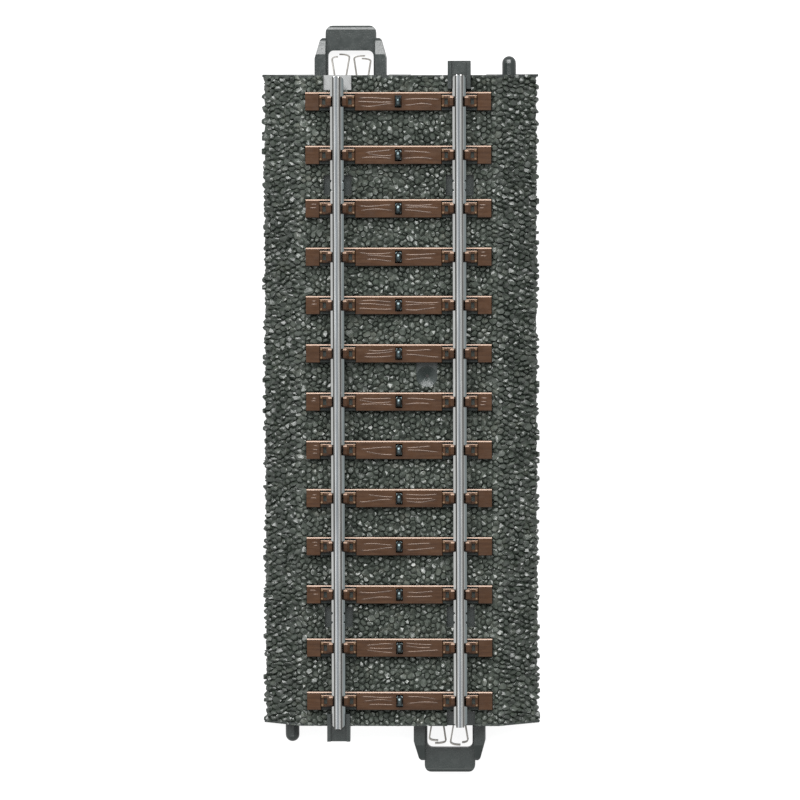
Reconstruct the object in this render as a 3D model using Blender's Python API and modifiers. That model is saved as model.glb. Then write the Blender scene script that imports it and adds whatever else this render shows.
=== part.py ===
"""Straight 16.5 mm gauge model track section with a moulded ballast roadbed.

The frame: +Z up, +Y along the rails, the origin on the table under the middle of the section.
The section is the same after half a turn about Z, so both ends come from one set of dimensions
for the north (+Y) end.  All dimensions are millimetres until a mesh is finished, which is where
MM turns them into metres.
"""

import math

import bmesh
import bpy
from mathutils import Matrix, Vector

MM = 0.001
MERGE = 1e-6  # metres
THROUGH = 0.5  # how far a cutter runs past what it cuts

# Overall
TRACK_LENGTH = 94.2
END_Y = TRACK_LENGTH / 2
GAUGE = 16.5
TRACK_HEIGHT = 10.3

# Roadbed shell, whose faces lie at the bottom of the moulded stones, and the lip round each end
# face, which is as high as the stones
BASE_HALF_WIDTH = 19.55
CREST_HALF_WIDTH = 14.05
CREST_Z = 6.2
RIM_Z = 0.5
LIP_BASE_HALF_WIDTH = 20.0
LIP_CREST_HALF_WIDTH = 14.3
LIP_CREST_Z = 6.45
LIP_THICKNESS = 0.35
DECK_UNDER_Z = 4.8
SLOPE_WALL = 1.4  # measured level, through the sloping side
END_WALL = 1.2
INTO = 0.2  # how far a rib, block or stake runs into the wall or deck that it joins
RIB_THICKNESS = 0.8
RIB_BOTTOM_Z = 2.4
CROSS_RIB_YS = (-24.0, -12.0, 0.0, 12.0, 24.0)
KEEL_RIB_X = 2.6
KEEL_RIB_END_Y = 39.0
KEEL_RIB_BOTTOM_Z = 3.4

# Rails
HEAD_WIDTH = 1.15
RAIL_X = (GAUGE + HEAD_WIDTH) / 2
RAIL_BOTTOM_Z = 8.0
RAIL_HEIGHT = TRACK_HEIGHT - RAIL_BOTTOM_Z
FOOT_WIDTH = 1.94
FOOT_EDGE = 0.2
FOOT_FILLET = (0.37, 0.48)  # where the foot's slope turns up: out from the middle, height
WEB_WIDTH = 0.5
WEB_Z = (0.72, 1.42)
HEAD_UNDER_Z = 1.62
HEAD_CORNER = 0.2
RAIL_SHIFT = 0.12  # each rail sits this much towards its own tongue
FOOT_CUT = 0.6
STAKE_NOTCH_RADIUS = 0.2
STAKE_NOTCH_PITCH = 1.33

# Sleepers: the middle ones share one pitch, and the last two gaps at each end are wider
SLEEPER_COUNT = 13
MIDDLE_PITCH = 6.98
END_PITCH = 7.72
MIDDLE_STEPS = 4
SLEEPER_LENGTH = 26.8
SLEEPER_WIDTH = 2.65
SLEEPER_BOTTOM_Z = 5.75
SLEEPER_TOP_Z = 7.7
SLEEPER_EDGE = 0.25
POCKET_GAP = 0.05
PLATE_HALF_LENGTH = 2.55
PLATE_WIDTH = 1.75
PLATE_TOP_Z = 7.95
CLAMP_OUTER = 1.95
CLAMP_WIDTH = 1.65
CLAMP_TOP_Z = 8.8
LIP_INNER = 0.72
LIP_BOTTOM_Z = 8.5
STUD_SLOT = (1.0, 1.95)

# Contact studs and their strip
STUD_SIZE = (0.84, 1.4)
STUD_TOP_Z = 8.9
STUD_CROWN = 0.3
STRIP_HALF_WIDTH = 1.7
STRIP_END_Y = 44.0
STRIP_Z = (4.4, 4.7)
STAKE_YS = (-38.0, -17.45, 17.45, 38.0)
STAKE_RADIUS = 0.5
STAKE_HEAD_RADIUS = 0.85
STAKE_HEAD_Z = (3.95, 4.33)

# Weld recesses, where a tab of the rail link reaches the rail's foot
WELD_Y = 31.25
WELD_RECESS = (4.0, 2.9)
WELD_FLOOR_Z = 5.5
WELD_SLOT = (1.6, 1.0)
WELD_TAB = (1.2, 0.4)
LINK_WIDTH = 1.8
LINK_HALF_LENGTH = 9.6
LINK_Z = (3.85, 4.15)

# End openings and the coupling hoop; its frame has the hoop's middle at x = 0
HOOP_X = -7.05
OPENING_HALF_WIDTH = 5.5
OPENING_TOP_Z = 4.6
HOOP_HINGE_Y = 44.1
HOOP_HINGE_Z = 2.5
HOOP_BOTTOM_Z = 0.85
BAND_TOP_Z = 2.4
LEG_TOP_Z = 4.3
LEG_HALF_WIDTH = 5.17
LEG_INNER = 3.6
LEG_TAPER_START = 2.4  # this and the next six are beyond the end face
LEG_RAMP_START = 3.0
LEG_END = 5.3
LEG_END_HALF_WIDTH = 4.45
LEG_END_CORNER = 0.3
WINDOW_END = 3.5
BAND_END = 7.1
BAND_HALF_WIDTH = 3.65
WINDOW_HALF_WIDTH = 3.3
WINDOW_CORNER = 0.8
BAND_CORNER = 1.0
BAND_NOSE = 0.55
LEG_NOSE_Z = 3.35
LEG_NOSE = 0.35
PLAN_MARGIN = 1e-3  # keeps the side sections' ends clear of the plan's
HINGE_GAP = 0.25
HINGE_BLOCK = 0.95

# Latch shelf that a mating hoop snaps over, on the tongue's side of the end
SHELF_HALF_WIDTH = 3.1
SHELF_WALL_YS = (43.1, 43.6)
SHELF_FRONT_Y = 46.9
SHELF_BOTTOM_Z = 1.9
SHELF_TOP_Z = 2.6
SHELF_LEAD_IN = (1.1, 0.4)  # along, up

# Rail tongue, its notch on the other side, peg, peg hole and screw hole
TONGUE_HALF_WIDTH = 1.65
TONGUE_WALL = 0.5
TONGUE_REACH = 2.1
TONGUE_INNER_Y = 45.2
TONGUE_ROOT_Z = 6.0
TONGUE_TIP_Z = 6.75
TONGUE_FLOOR_Z = 7.95
TONGUE_STEP = 0.05  # the floor is this much lower under the section's own rail
TONGUE_WALL_TOP_Z = 8.5
NOTCH_WIDTH = 4.0
NOTCH_DEPTH = 2.1
NOTCH_FLOOR_Z = (6.0, 5.3)  # at its inner end, at the end face
PEG_X = 15.84
PEG_Z = 1.9
PEG_RADIUS = 1.0
PEG_REACH = 2.65
PEG_HOLE_RADIUS = 1.1
SCREW_HOLE = (4.0, 3.6)
SCREW_HEAD_RADIUS = 1.5
SCREW_RADIUS = 0.25
SCREW_HEAD_Z = 6.1
SCREW_SEAT_Z = 5.35

# Spring plugs and sockets: a folded sheet pair for the rails and one for the studs
RAIL_PLUG_X = -8.5
CENTRE_PLUG_X = -5.31
SHEET = 0.2
ARM_Z = (2.8, 4.1)
ARM_ROOT_Y = 44.6
ARM_SPREAD = 0.86
WEB_Y = 44.1
FOOT_HALF_WIDTH = 0.6
FOOT_Z = (4.2, 4.35)
LAP = 0.05  # how far crossing sheets of one stamping are set off, so that they join cleanly
SOCKET_WEB_Y = 43.65
SOCKET_FRONT_Y = 46.8
SOCKET_INNER = 1.08
SOCKET_Z = (2.68, 4.1)
CROSS_FOOT_YS = (41.2, 42.4)
CROSS_FOOT_END_X = 1.2

# The four arms of one end: name, plug, side (-1 is further from the track's middle at the north
# end), then how far it bulges, where it bulges, how far its tip turns in, and its reach
ARMS = (
    ("rail_contact_outer", RAIL_PLUG_X, -1, 0.35, 2.2, 0.47, 2.62),
    ("rail_contact_inner", RAIL_PLUG_X, 1, 0.43, 2.5, 0.99, 2.98),
    ("centre_contact_outer", CENTRE_PLUG_X, -1, 0.35, 2.3, 1.21, 2.75),
    ("centre_contact_inner", CENTRE_PLUG_X, 1, 0.32, 1.95, 0.94, 2.35),
)
ARM_BEND_STEPS = 5

parts = bpy.data.collections.new("track_section")
cutters = bpy.data.collections.new("cutters")


def clear_scene():
    for item in list(bpy.data.objects):
        bpy.data.objects.remove(item)


def make_material(name, colour, roughness, metallic):
    made = bpy.data.materials.new(name)
    made.use_nodes = True
    shader = made.node_tree.nodes["Principled BSDF"]
    shader.inputs["Base Color"].default_value = (*colour, 1.0)
    shader.inputs["Roughness"].default_value = roughness
    shader.inputs["Metallic"].default_value = metallic
    return made


def half_turn(angle):
    return Matrix.Rotation(angle, 4, "Z")


# Mesh makers, all in millimetres ---------------------------------------------------------------


def box_mesh(*boxes):
    """One mesh of separate boxes, each a pair of opposite corners."""
    shape = bmesh.new()
    for low, high in boxes:
        low = Vector(low)
        high = Vector(high)
        size = high - low
        place = Matrix.Translation((low + high) / 2) @ Matrix.Diagonal((*size, 1.0))
        bmesh.ops.create_cube(shape, size=1.0, matrix=place)
    mesh = bpy.data.meshes.new("boxes")
    shape.to_mesh(mesh)
    shape.free()
    return mesh


def weld(mesh, distance):
    shape = bmesh.new()
    shape.from_mesh(mesh)
    bmesh.ops.remove_doubles(shape, verts=shape.verts, dist=distance)
    shape.to_mesh(mesh)
    shape.free()


def plate_mesh(outline, low, high):
    """A flat outline in X and Y, as a solid from z = low to z = high."""
    curve = bpy.data.curves.new("outline", "CURVE")
    curve.dimensions = "2D"
    curve.fill_mode = "BOTH"
    curve.extrude = (high - low) / 2
    spline = curve.splines.new("POLY")
    spline.points.add(len(outline) - 1)
    for point, (x, y) in zip(spline.points, outline):
        point.co = (x, y, 0.0, 1.0)
    spline.use_cyclic_u = True
    holder = bpy.data.objects.new("outline", curve)
    bpy.context.scene.collection.objects.link(holder)
    depsgraph = bpy.context.evaluated_depsgraph_get()
    mesh = bpy.data.meshes.new_from_object(holder.evaluated_get(depsgraph))
    bpy.data.objects.remove(holder)
    weld(mesh, 1e-4)
    mesh.transform(Matrix.Translation((0.0, 0.0, (low + high) / 2)))
    return mesh


def across_mesh(outline, low, high):
    """An outline in X and Z, as a solid from y = low to y = high."""
    mesh = plate_mesh(outline, -high, -low)
    mesh.transform(Matrix.Rotation(math.radians(90), 4, "X"))
    return mesh


def side_mesh(outline, low, high):
    """An outline in Y and Z, as a solid from x = low to x = high."""
    mesh = plate_mesh(outline, low, high)
    mesh.transform(Matrix(((0, 0, 1, 0), (1, 0, 0, 0), (0, 1, 0, 0), (0, 0, 0, 1))))
    return mesh


def turned_mesh(profile, steps):
    """A profile of (radius, height) from top to bottom, turned about Z."""
    mesh = bpy.data.meshes.new("turned")
    points = [(radius, 0.0, height) for radius, height in profile]
    mesh.from_pydata(points, [(i, i + 1) for i in range(len(points) - 1)], [])
    holder = bpy.data.objects.new("turned", mesh)
    bpy.context.scene.collection.objects.link(holder)
    screw = holder.modifiers.new("turn", "SCREW")
    screw.steps = steps
    screw.render_steps = steps
    screw.use_merge_vertices = True
    screw.merge_threshold = MERGE
    depsgraph = bpy.context.evaluated_depsgraph_get()
    turned = bpy.data.meshes.new_from_object(holder.evaluated_get(depsgraph))
    bpy.data.objects.remove(holder)
    weld(turned, 1e-4)
    return turned


def moved(mesh, matrix):
    copy = mesh.copy()
    copy.transform(matrix)
    return copy


def joined(*meshes):
    """Several separate solids as one mesh."""
    shape = bmesh.new()
    for mesh in meshes:
        shape.from_mesh(mesh)
    result = bpy.data.meshes.new("joined")
    shape.to_mesh(result)
    shape.free()
    return result


def both_ends(mesh):
    return joined(mesh, moved(mesh, half_turn(math.pi)))


def arc(centre, radius, start, end, steps):
    """Points of an arc, with its angles in degrees."""
    angles = [math.radians(start + (end - start) * i / steps) for i in range(steps + 1)]
    return [(centre[0] + radius * math.cos(a), centre[1] + radius * math.sin(a)) for a in angles]


def mirrored(half):
    """A closed outline from its +X half, which is listed from one end of the mirror line to the other."""
    return half + [(-x, y) for x, y in reversed(half)]


# Objects ---------------------------------------------------------------------------------------


def add_object(name, mesh, collection, pivot=(0.0, 0.0, 0.0)):
    """An object from a mesh in millimetres, with its origin at the pivot."""
    mesh = mesh.copy()
    mesh.transform(Matrix.Scale(MM, 4) @ Matrix.Translation(-Vector(pivot)))
    mesh.name = name
    item = bpy.data.objects.new(name, mesh)
    item.location = Vector(pivot) * MM
    collection.objects.link(item)
    return item


def add_part(name, mesh, material, pivot=(0.0, 0.0, 0.0)):
    part = add_object(name, mesh, parts, pivot)
    part.data.materials.append(material)
    part.data.shade_smooth()
    part.data.set_sharp_from_angle(angle=math.radians(30))
    return part


def combine(part, operation, mesh, label):
    """Adds a Boolean with a hidden tool; the tool's mesh is in the track's frame."""
    tool = add_object(f"{part.name}_{label}", mesh, cutters)
    tool.display_type = "WIRE"
    tool.hide_render = True
    change = part.modifiers.new(label, "BOOLEAN")
    change.operation = operation
    change.object = tool
    change.solver = "EXACT"


def half_turn_copy(part, name):
    """The same piece at the south end, sharing its mesh, which must have no modifiers."""
    copy = bpy.data.objects.new(name, part.data)
    copy.location = half_turn(math.pi) @ part.location
    copy.rotation_euler = (0.0, 0.0, math.pi)
    parts.objects.link(copy)


def freeze(part):
    """Applies a part's modifiers, so that its mesh can be shared."""
    bpy.context.view_layer.update()
    depsgraph = bpy.context.evaluated_depsgraph_get()
    mesh = bpy.data.meshes.new_from_object(part.evaluated_get(depsgraph))
    part.modifiers.clear()
    part.data = mesh


# Roadbed ---------------------------------------------------------------------------------------


def slope_x(z):
    """The half width of the outer slope at a height."""
    share = (z - RIM_Z) / (CREST_Z - RIM_Z)
    return BASE_HALF_WIDTH + (CREST_HALF_WIDTH - BASE_HALF_WIDTH) * share


def sleeper_ys():
    ys = []
    for step in range(-(SLEEPER_COUNT // 2), SLEEPER_COUNT // 2 + 1):
        middle = min(abs(step), MIDDLE_STEPS)
        wide = abs(step) - middle
        ys.append(math.copysign(middle * MIDDLE_PITCH + wide * END_PITCH, step))
    return ys


def shell_mesh():
    outline = mirrored(
        [(BASE_HALF_WIDTH, 0.0), (BASE_HALF_WIDTH, RIM_Z), (CREST_HALF_WIDTH, CREST_Z)]
    )
    return across_mesh(outline, LIP_THICKNESS / 2 - END_Y, END_Y - LIP_THICKNESS / 2)


def end_lip_mesh():
    """The thin edge that frames one end face."""
    outline = mirrored(
        [
            (LIP_BASE_HALF_WIDTH, 0.0),
            (LIP_BASE_HALF_WIDTH, RIM_Z),
            (LIP_CREST_HALF_WIDTH, LIP_CREST_Z),
        ]
    )
    return across_mesh(outline, END_Y - LIP_THICKNESS, END_Y)


def hollow_mesh():
    """The space under the deck, inside the walls."""
    outline = mirrored(
        [
            (slope_x(-THROUGH) - SLOPE_WALL, -THROUGH),
            (slope_x(DECK_UNDER_Z) - SLOPE_WALL, DECK_UNDER_Z),
        ]
    )
    return across_mesh(outline, END_WALL - END_Y, END_Y - END_WALL)


def rib_boxes():
    """Stiffening ribs under the deck, clear of the strip, the rail links and the couplings."""
    into_deck = DECK_UNDER_Z + INTO
    into_wall = slope_x(into_deck) - SLOPE_WALL + 2 * INTO
    half = RIB_THICKNESS / 2
    boxes = []
    for y in CROSS_RIB_YS:
        for side in (-1, 1):
            xs = sorted((side * KEEL_RIB_X, side * into_wall))
            boxes.append(((xs[0], y - half, RIB_BOTTOM_Z), (xs[1], y + half, into_deck)))
    return boxes


def keel_boxes():
    into_deck = DECK_UNDER_Z + INTO / 2
    half = RIB_THICKNESS / 2
    gap = LINK_WIDTH
    spans = (
        (-KEEL_RIB_END_Y, -WELD_Y - gap),
        (-WELD_Y + gap, WELD_Y - gap),
        (WELD_Y + gap, KEEL_RIB_END_Y),
    )
    boxes = []
    for x in (-KEEL_RIB_X, KEEL_RIB_X):
        for low, high in spans:
            boxes.append(((x - half, low, KEEL_RIB_BOTTOM_Z), (x + half, high, into_deck)))
    return boxes


def stakes_mesh():
    """The moulded stakes that hold the strip, each with a flattened head."""
    edge = (STAKE_HEAD_Z[1] - STAKE_HEAD_Z[0]) / 2
    profile = [
        (0.0, DECK_UNDER_Z + INTO),
        (STAKE_RADIUS, DECK_UNDER_Z + INTO),
        (STAKE_RADIUS, STAKE_HEAD_Z[1]),
        (STAKE_HEAD_RADIUS, STAKE_HEAD_Z[1]),
        (STAKE_HEAD_RADIUS, STAKE_HEAD_Z[0] + edge),
        (STAKE_HEAD_RADIUS - edge, STAKE_HEAD_Z[0]),
        (0.0, STAKE_HEAD_Z[0]),
    ]
    stake = turned_mesh(profile, 16)
    return joined(*[moved(stake, Matrix.Translation((0.0, y, 0.0))) for y in STAKE_YS])


def hinge_blocks_mesh():
    """The roots that the hoop's legs spring from."""
    high = HOOP_HINGE_Y - HINGE_GAP
    boxes = []
    for side in (-1, 1):
        xs = sorted((HOOP_X + side * LEG_INNER, HOOP_X + side * LEG_HALF_WIDTH))
        boxes.append(((xs[0], high - HINGE_BLOCK, HOOP_BOTTOM_Z), (xs[1], high, DECK_UNDER_Z + INTO)))
    return both_ends(box_mesh(*boxes))


def latch_shelf_mesh():
    """A shelf on a rear wall, with a lead-in under its front edge."""
    rear, front = SHELF_WALL_YS
    outline = [
        (rear, SHELF_BOTTOM_Z),
        (SHELF_FRONT_Y - SHELF_LEAD_IN[0], SHELF_BOTTOM_Z),
        (SHELF_FRONT_Y, SHELF_BOTTOM_Z + SHELF_LEAD_IN[1]),
        (SHELF_FRONT_Y, SHELF_TOP_Z),
        (front, SHELF_TOP_Z),
        (front, DECK_UNDER_Z + INTO),
        (rear, DECK_UNDER_Z + INTO),
    ]
    shelf = side_mesh(outline, -HOOP_X - SHELF_HALF_WIDTH, -HOOP_X + SHELF_HALF_WIDTH)
    return both_ends(shelf)


def shelf_slots_mesh():
    """Openings in the shelf's rear wall for the feet of the two sockets."""
    half = FOOT_HALF_WIDTH + 2 * POCKET_GAP
    rear, front = SHELF_WALL_YS
    low_z = FOOT_Z[0] - 3 * POCKET_GAP
    high_z = DECK_UNDER_Z - 2 * POCKET_GAP
    boxes = []
    for x in (-RAIL_PLUG_X, -CENTRE_PLUG_X):
        boxes.append(((x - half, rear - THROUGH, low_z), (x + half, front + THROUGH, high_z)))
    return both_ends(box_mesh(*boxes))


def tongue_outline():
    """The tray's section about the rail's middle, in X and Z."""
    inner = TONGUE_HALF_WIDTH - TONGUE_WALL
    return mirrored(
        [
            (TONGUE_HALF_WIDTH, CREST_Z - INTO),
            (TONGUE_HALF_WIDTH, TONGUE_WALL_TOP_Z),
            (inner, TONGUE_WALL_TOP_Z),
            (inner, TONGUE_FLOOR_Z),
        ]
    )


def tongue_mesh():
    """A tray under the rail's end, which reaches under the next section's rail."""
    tip = END_Y + TONGUE_REACH
    channel = across_mesh(tongue_outline(), TONGUE_INNER_Y, tip)
    tongue = add_object("tongue", channel, cutters)
    slant = (TONGUE_TIP_Z - TONGUE_ROOT_Z) / TONGUE_REACH
    past = tip + THROUGH
    underside = side_mesh(
        [
            (END_Y, TONGUE_ROOT_Z),
            (END_Y, CREST_Z - INTO - THROUGH),
            (past, CREST_Z - INTO - THROUGH),
            (past, TONGUE_TIP_Z + slant * THROUGH),
        ],
        -TONGUE_HALF_WIDTH - THROUGH,
        TONGUE_HALF_WIDTH + THROUGH,
    )
    combine(tongue, "DIFFERENCE", underside, "underside")
    rail_end = END_Y + RAIL_SHIFT + POCKET_GAP
    inner = TONGUE_HALF_WIDTH - TONGUE_WALL
    seat = (
        (-inner, TONGUE_INNER_Y - THROUGH, TONGUE_FLOOR_Z - TONGUE_STEP),
        (inner, rail_end, TONGUE_WALL_TOP_Z + THROUGH),
    )
    combine(tongue, "DIFFERENCE", box_mesh(seat), "rail_seat")
    freeze(tongue)
    mesh = moved(tongue.data, Matrix.Translation((RAIL_X, 0.0, 0.0)) @ Matrix.Scale(1 / MM, 4))
    bpy.data.objects.remove(tongue)
    return mesh


def peg_mesh():
    """A round peg with a domed tip, along +Y out of the end wall."""
    dome = arc((0.0, PEG_REACH - PEG_RADIUS), PEG_RADIUS, 90, 0, 6)
    profile = [*dome, (PEG_RADIUS, -END_WALL / 2), (0.0, -END_WALL / 2)]
    peg = turned_mesh(profile, 24)
    lie_down = Matrix.Rotation(math.radians(-90), 4, "X")
    return moved(peg, Matrix.Translation((PEG_X, END_Y, PEG_Z)) @ lie_down)


def opening_boxes():
    """The openings of one end: the hoop's own, and the one a mating hoop enters."""
    boxes = []
    for x in (HOOP_X, -HOOP_X):
        low = (x - OPENING_HALF_WIDTH, END_Y - END_WALL - POCKET_GAP, -THROUGH)
        high = (x + OPENING_HALF_WIDTH, END_Y + THROUGH, OPENING_TOP_Z)
        boxes.append((low, high))
    return boxes


def notch_mesh():
    """The ramped notch under the rail's end on the hoop's side."""
    inner = END_Y - NOTCH_DEPTH
    outline = [
        (inner, NOTCH_FLOOR_Z[0]),
        (END_Y, NOTCH_FLOOR_Z[1]),
        (END_Y + THROUGH, NOTCH_FLOOR_Z[1]),
        (END_Y + THROUGH, LIP_CREST_Z + THROUGH),
        (inner, LIP_CREST_Z + THROUGH),
    ]
    return side_mesh(outline, -RAIL_X - NOTCH_WIDTH / 2, -RAIL_X + NOTCH_WIDTH / 2)


def pocket_boxes():
    half_x = SLEEPER_LENGTH / 2 + POCKET_GAP
    half_y = SLEEPER_WIDTH / 2 + POCKET_GAP
    floor_z = SLEEPER_BOTTOM_Z - POCKET_GAP
    top_z = CREST_Z + THROUGH
    return [((-half_x, y - half_y, floor_z), (half_x, y + half_y, top_z)) for y in sleeper_ys()]


def stud_slot_boxes(low, high):
    half_x = STUD_SLOT[0] / 2
    half_y = STUD_SLOT[1] / 2
    return [((-half_x, y - half_y, low), (half_x, y + half_y, high)) for y in sleeper_ys()]


def weld_boxes(size, low, high):
    half_x = size[0] / 2
    half_y = size[1] / 2
    boxes = []
    for x in (-RAIL_X, RAIL_X):
        for y in (-WELD_Y, WELD_Y):
            boxes.append(((x - half_x, y - half_y, low), (x + half_x, y + half_y, high)))
    return boxes


def screw_hole_mesh():
    profile = [
        (0.0, CREST_Z + THROUGH),
        (SCREW_HEAD_RADIUS, CREST_Z + THROUGH),
        (SCREW_HEAD_RADIUS, SCREW_HEAD_Z),
        (SCREW_RADIUS, SCREW_SEAT_Z),
        (SCREW_RADIUS, DECK_UNDER_Z - THROUGH),
        (0.0, DECK_UNDER_Z - THROUGH),
    ]
    return moved(turned_mesh(profile, 24), Matrix.Translation((*SCREW_HOLE, 0.0)))


def peg_hole_mesh():
    shape = bmesh.new()
    lie_down = Matrix.Rotation(math.radians(90), 4, "X")
    place = Matrix.Translation((-PEG_X, END_Y, PEG_Z)) @ lie_down
    bmesh.ops.create_cone(
        shape,
        cap_ends=True,
        segments=24,
        radius1=PEG_HOLE_RADIUS,
        radius2=PEG_HOLE_RADIUS,
        depth=4 * END_WALL,
        matrix=place,
    )
    mesh = bpy.data.meshes.new("peg_hole")
    shape.to_mesh(mesh)
    shape.free()
    return mesh


def build_roadbed(plastic):
    bed = add_part("roadbed", shell_mesh(), plastic)
    combine(bed, "UNION", both_ends(end_lip_mesh()), "end_lips")
    combine(bed, "DIFFERENCE", hollow_mesh(), "hollow")
    combine(bed, "UNION", box_mesh(*keel_boxes()), "keel_ribs")
    combine(bed, "UNION", box_mesh(*rib_boxes()), "cross_ribs")
    combine(bed, "UNION", stakes_mesh(), "stakes")
    combine(bed, "DIFFERENCE", both_ends(box_mesh(*opening_boxes())), "openings")
    combine(bed, "UNION", hinge_blocks_mesh(), "hinge_blocks")
    combine(bed, "UNION", latch_shelf_mesh(), "latch_shelves")
    combine(bed, "DIFFERENCE", shelf_slots_mesh(), "socket_slots")
    combine(bed, "UNION", both_ends(tongue_mesh()), "tongues")
    combine(bed, "UNION", both_ends(peg_mesh()), "pegs")
    combine(bed, "DIFFERENCE", both_ends(peg_hole_mesh()), "peg_holes")
    combine(bed, "DIFFERENCE", both_ends(notch_mesh()), "notches")
    combine(bed, "DIFFERENCE", box_mesh(*pocket_boxes()), "sleeper_pockets")
    slots = box_mesh(*stud_slot_boxes(DECK_UNDER_Z - THROUGH, CREST_Z + THROUGH))
    combine(bed, "DIFFERENCE", slots, "stud_slots")
    recesses = box_mesh(*weld_boxes(WELD_RECESS, WELD_FLOOR_Z, CREST_Z + THROUGH))
    combine(bed, "DIFFERENCE", recesses, "weld_recesses")
    tab_slots = box_mesh(*weld_boxes(WELD_SLOT, DECK_UNDER_Z - THROUGH, WELD_FLOOR_Z + THROUGH))
    combine(bed, "DIFFERENCE", tab_slots, "weld_slots")
    combine(bed, "DIFFERENCE", screw_hole_mesh(), "screw_hole")


# Sleepers, rails and studs ---------------------------------------------------------------------


def chamfered_bar_mesh():
    half_y = SLEEPER_WIDTH / 2
    outline = mirrored(
        [
            (half_y, SLEEPER_BOTTOM_Z),
            (half_y, SLEEPER_TOP_Z - SLEEPER_EDGE),
            (half_y - SLEEPER_EDGE, SLEEPER_TOP_Z),
        ]
    )
    return side_mesh(outline, -SLEEPER_LENGTH / 2, SLEEPER_LENGTH / 2)


def clamp_outline(side):
    """A clamp's section in X and Z, with its lip over the rail's foot."""
    foot = FOOT_WIDTH / 2 + POCKET_GAP
    half = [
        (foot, SLEEPER_TOP_Z),
        (CLAMP_OUTER, SLEEPER_TOP_Z),
        (CLAMP_OUTER, CLAMP_TOP_Z),
        (LIP_INNER, CLAMP_TOP_Z),
        (LIP_INNER, LIP_BOTTOM_Z),
        (foot, LIP_BOTTOM_Z),
    ]
    return [(side * x, z) for x, z in half]


def sleeper_mesh(wood):
    """One sleeper with its rail seats, modelled at y = 0."""
    sleeper = add_part("sleeper", chamfered_bar_mesh(), wood)
    half_y = PLATE_WIDTH / 2
    plates = []
    clamps = []
    for x in (-RAIL_X, RAIL_X):
        low = (x - PLATE_HALF_LENGTH, -half_y, SLEEPER_TOP_Z - INTO)
        high = (x + PLATE_HALF_LENGTH, half_y, PLATE_TOP_Z)
        plates.append((low, high))
        for side in (-1, 1):
            clamp = across_mesh(clamp_outline(side), -CLAMP_WIDTH / 2, CLAMP_WIDTH / 2)
            clamps.append(moved(clamp, Matrix.Translation((x, 0.0, 0.0))))
    combine(sleeper, "UNION", box_mesh(*plates), "plates")
    combine(sleeper, "UNION", joined(*clamps), "clamps")
    slot = (
        (-STUD_SLOT[0] / 2, -STUD_SLOT[1] / 2, SLEEPER_BOTTOM_Z - THROUGH),
        (STUD_SLOT[0] / 2, STUD_SLOT[1] / 2, SLEEPER_TOP_Z + THROUGH),
    )
    combine(sleeper, "DIFFERENCE", box_mesh(slot), "stud_slot")
    freeze(sleeper)
    mesh = sleeper.data
    bpy.data.objects.remove(sleeper)
    return mesh


def build_sleepers(wood):
    mesh = sleeper_mesh(wood)
    for number, y in enumerate(reversed(sleeper_ys()), start=1):
        sleeper = bpy.data.objects.new(f"sleeper_{number:02d}", mesh)
        sleeper.location = (0.0, y * MM, 0.0)
        parts.objects.link(sleeper)


def rail_outline():
    """The rail's section, with z = 0 under its foot."""
    foot = FOOT_WIDTH / 2
    web = WEB_WIDTH / 2
    head = HEAD_WIDTH / 2
    corner = arc((head - HEAD_CORNER, RAIL_HEIGHT - HEAD_CORNER), HEAD_CORNER, 0, 90, 3)
    half = [
        (foot, 0.0),
        (foot, FOOT_EDGE),
        FOOT_FILLET,
        (web, WEB_Z[0]),
        (web, WEB_Z[1]),
        (head, HEAD_UNDER_Z),
        *corner,
    ]
    return mirrored(half)


def stake_notches_mesh():
    """Small round notches in the foot's edges, where the tabs are staked to it."""
    shape = bmesh.new()
    for end in (-1, 1):
        for along in (-0.5, 0.5):
            for side in (-1, 1):
                place = (side * FOOT_WIDTH / 2, end * WELD_Y + along * STAKE_NOTCH_PITCH, 0.0)
                bmesh.ops.create_cone(
                    shape,
                    cap_ends=True,
                    segments=12,
                    radius1=STAKE_NOTCH_RADIUS,
                    radius2=STAKE_NOTCH_RADIUS,
                    depth=1.0,
                    matrix=Matrix.Translation(place),
                )
    mesh = bpy.data.meshes.new("stake_notches")
    shape.to_mesh(mesh)
    shape.free()
    return mesh


def foot_cuts_mesh():
    """Wedges that cut the foot's corners off at 45 degrees, at both ends."""
    far_x = FOOT_WIDTH / 2 + THROUGH
    far_y = END_Y + THROUGH
    leg = FOOT_CUT + 2 * THROUGH
    wedges = []
    for end in (-1, 1):
        for side in (-1, 1):
            outline = [
                (side * (far_x - leg), end * far_y),
                (side * far_x, end * (far_y - leg)),
                (side * far_x, end * far_y),
            ]
            wedges.append(plate_mesh(outline, -THROUGH, WEB_Z[0]))
    return joined(*wedges)


def build_rail(name, side, steel):
    """A rail, whose tongue is at the south end on the left and at the north end on the right."""
    place = Matrix.Translation((side * RAIL_X, side * RAIL_SHIFT, RAIL_BOTTOM_Z))
    rail = add_part(name, moved(across_mesh(rail_outline(), -END_Y, END_Y), place), steel)
    level = Matrix.Translation((side * RAIL_X, 0.0, RAIL_BOTTOM_Z))
    combine(rail, "DIFFERENCE", moved(stake_notches_mesh(), level), "stake_notches")
    combine(rail, "DIFFERENCE", moved(foot_cuts_mesh(), place), "foot_cuts")


def stud_mesh():
    """A stud with a sloped crown, standing on the strip."""
    half_x = STUD_SIZE[0] / 2
    half_y = STUD_SIZE[1] / 2
    middle_z = (STRIP_Z[0] + STRIP_Z[1]) / 2
    outline = mirrored(
        [
            (half_y, middle_z),
            (half_y, STUD_TOP_Z - STUD_CROWN),
            (half_y - STUD_CROWN, STUD_TOP_Z),
        ]
    )
    return side_mesh(outline, -half_x, half_x)


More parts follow.
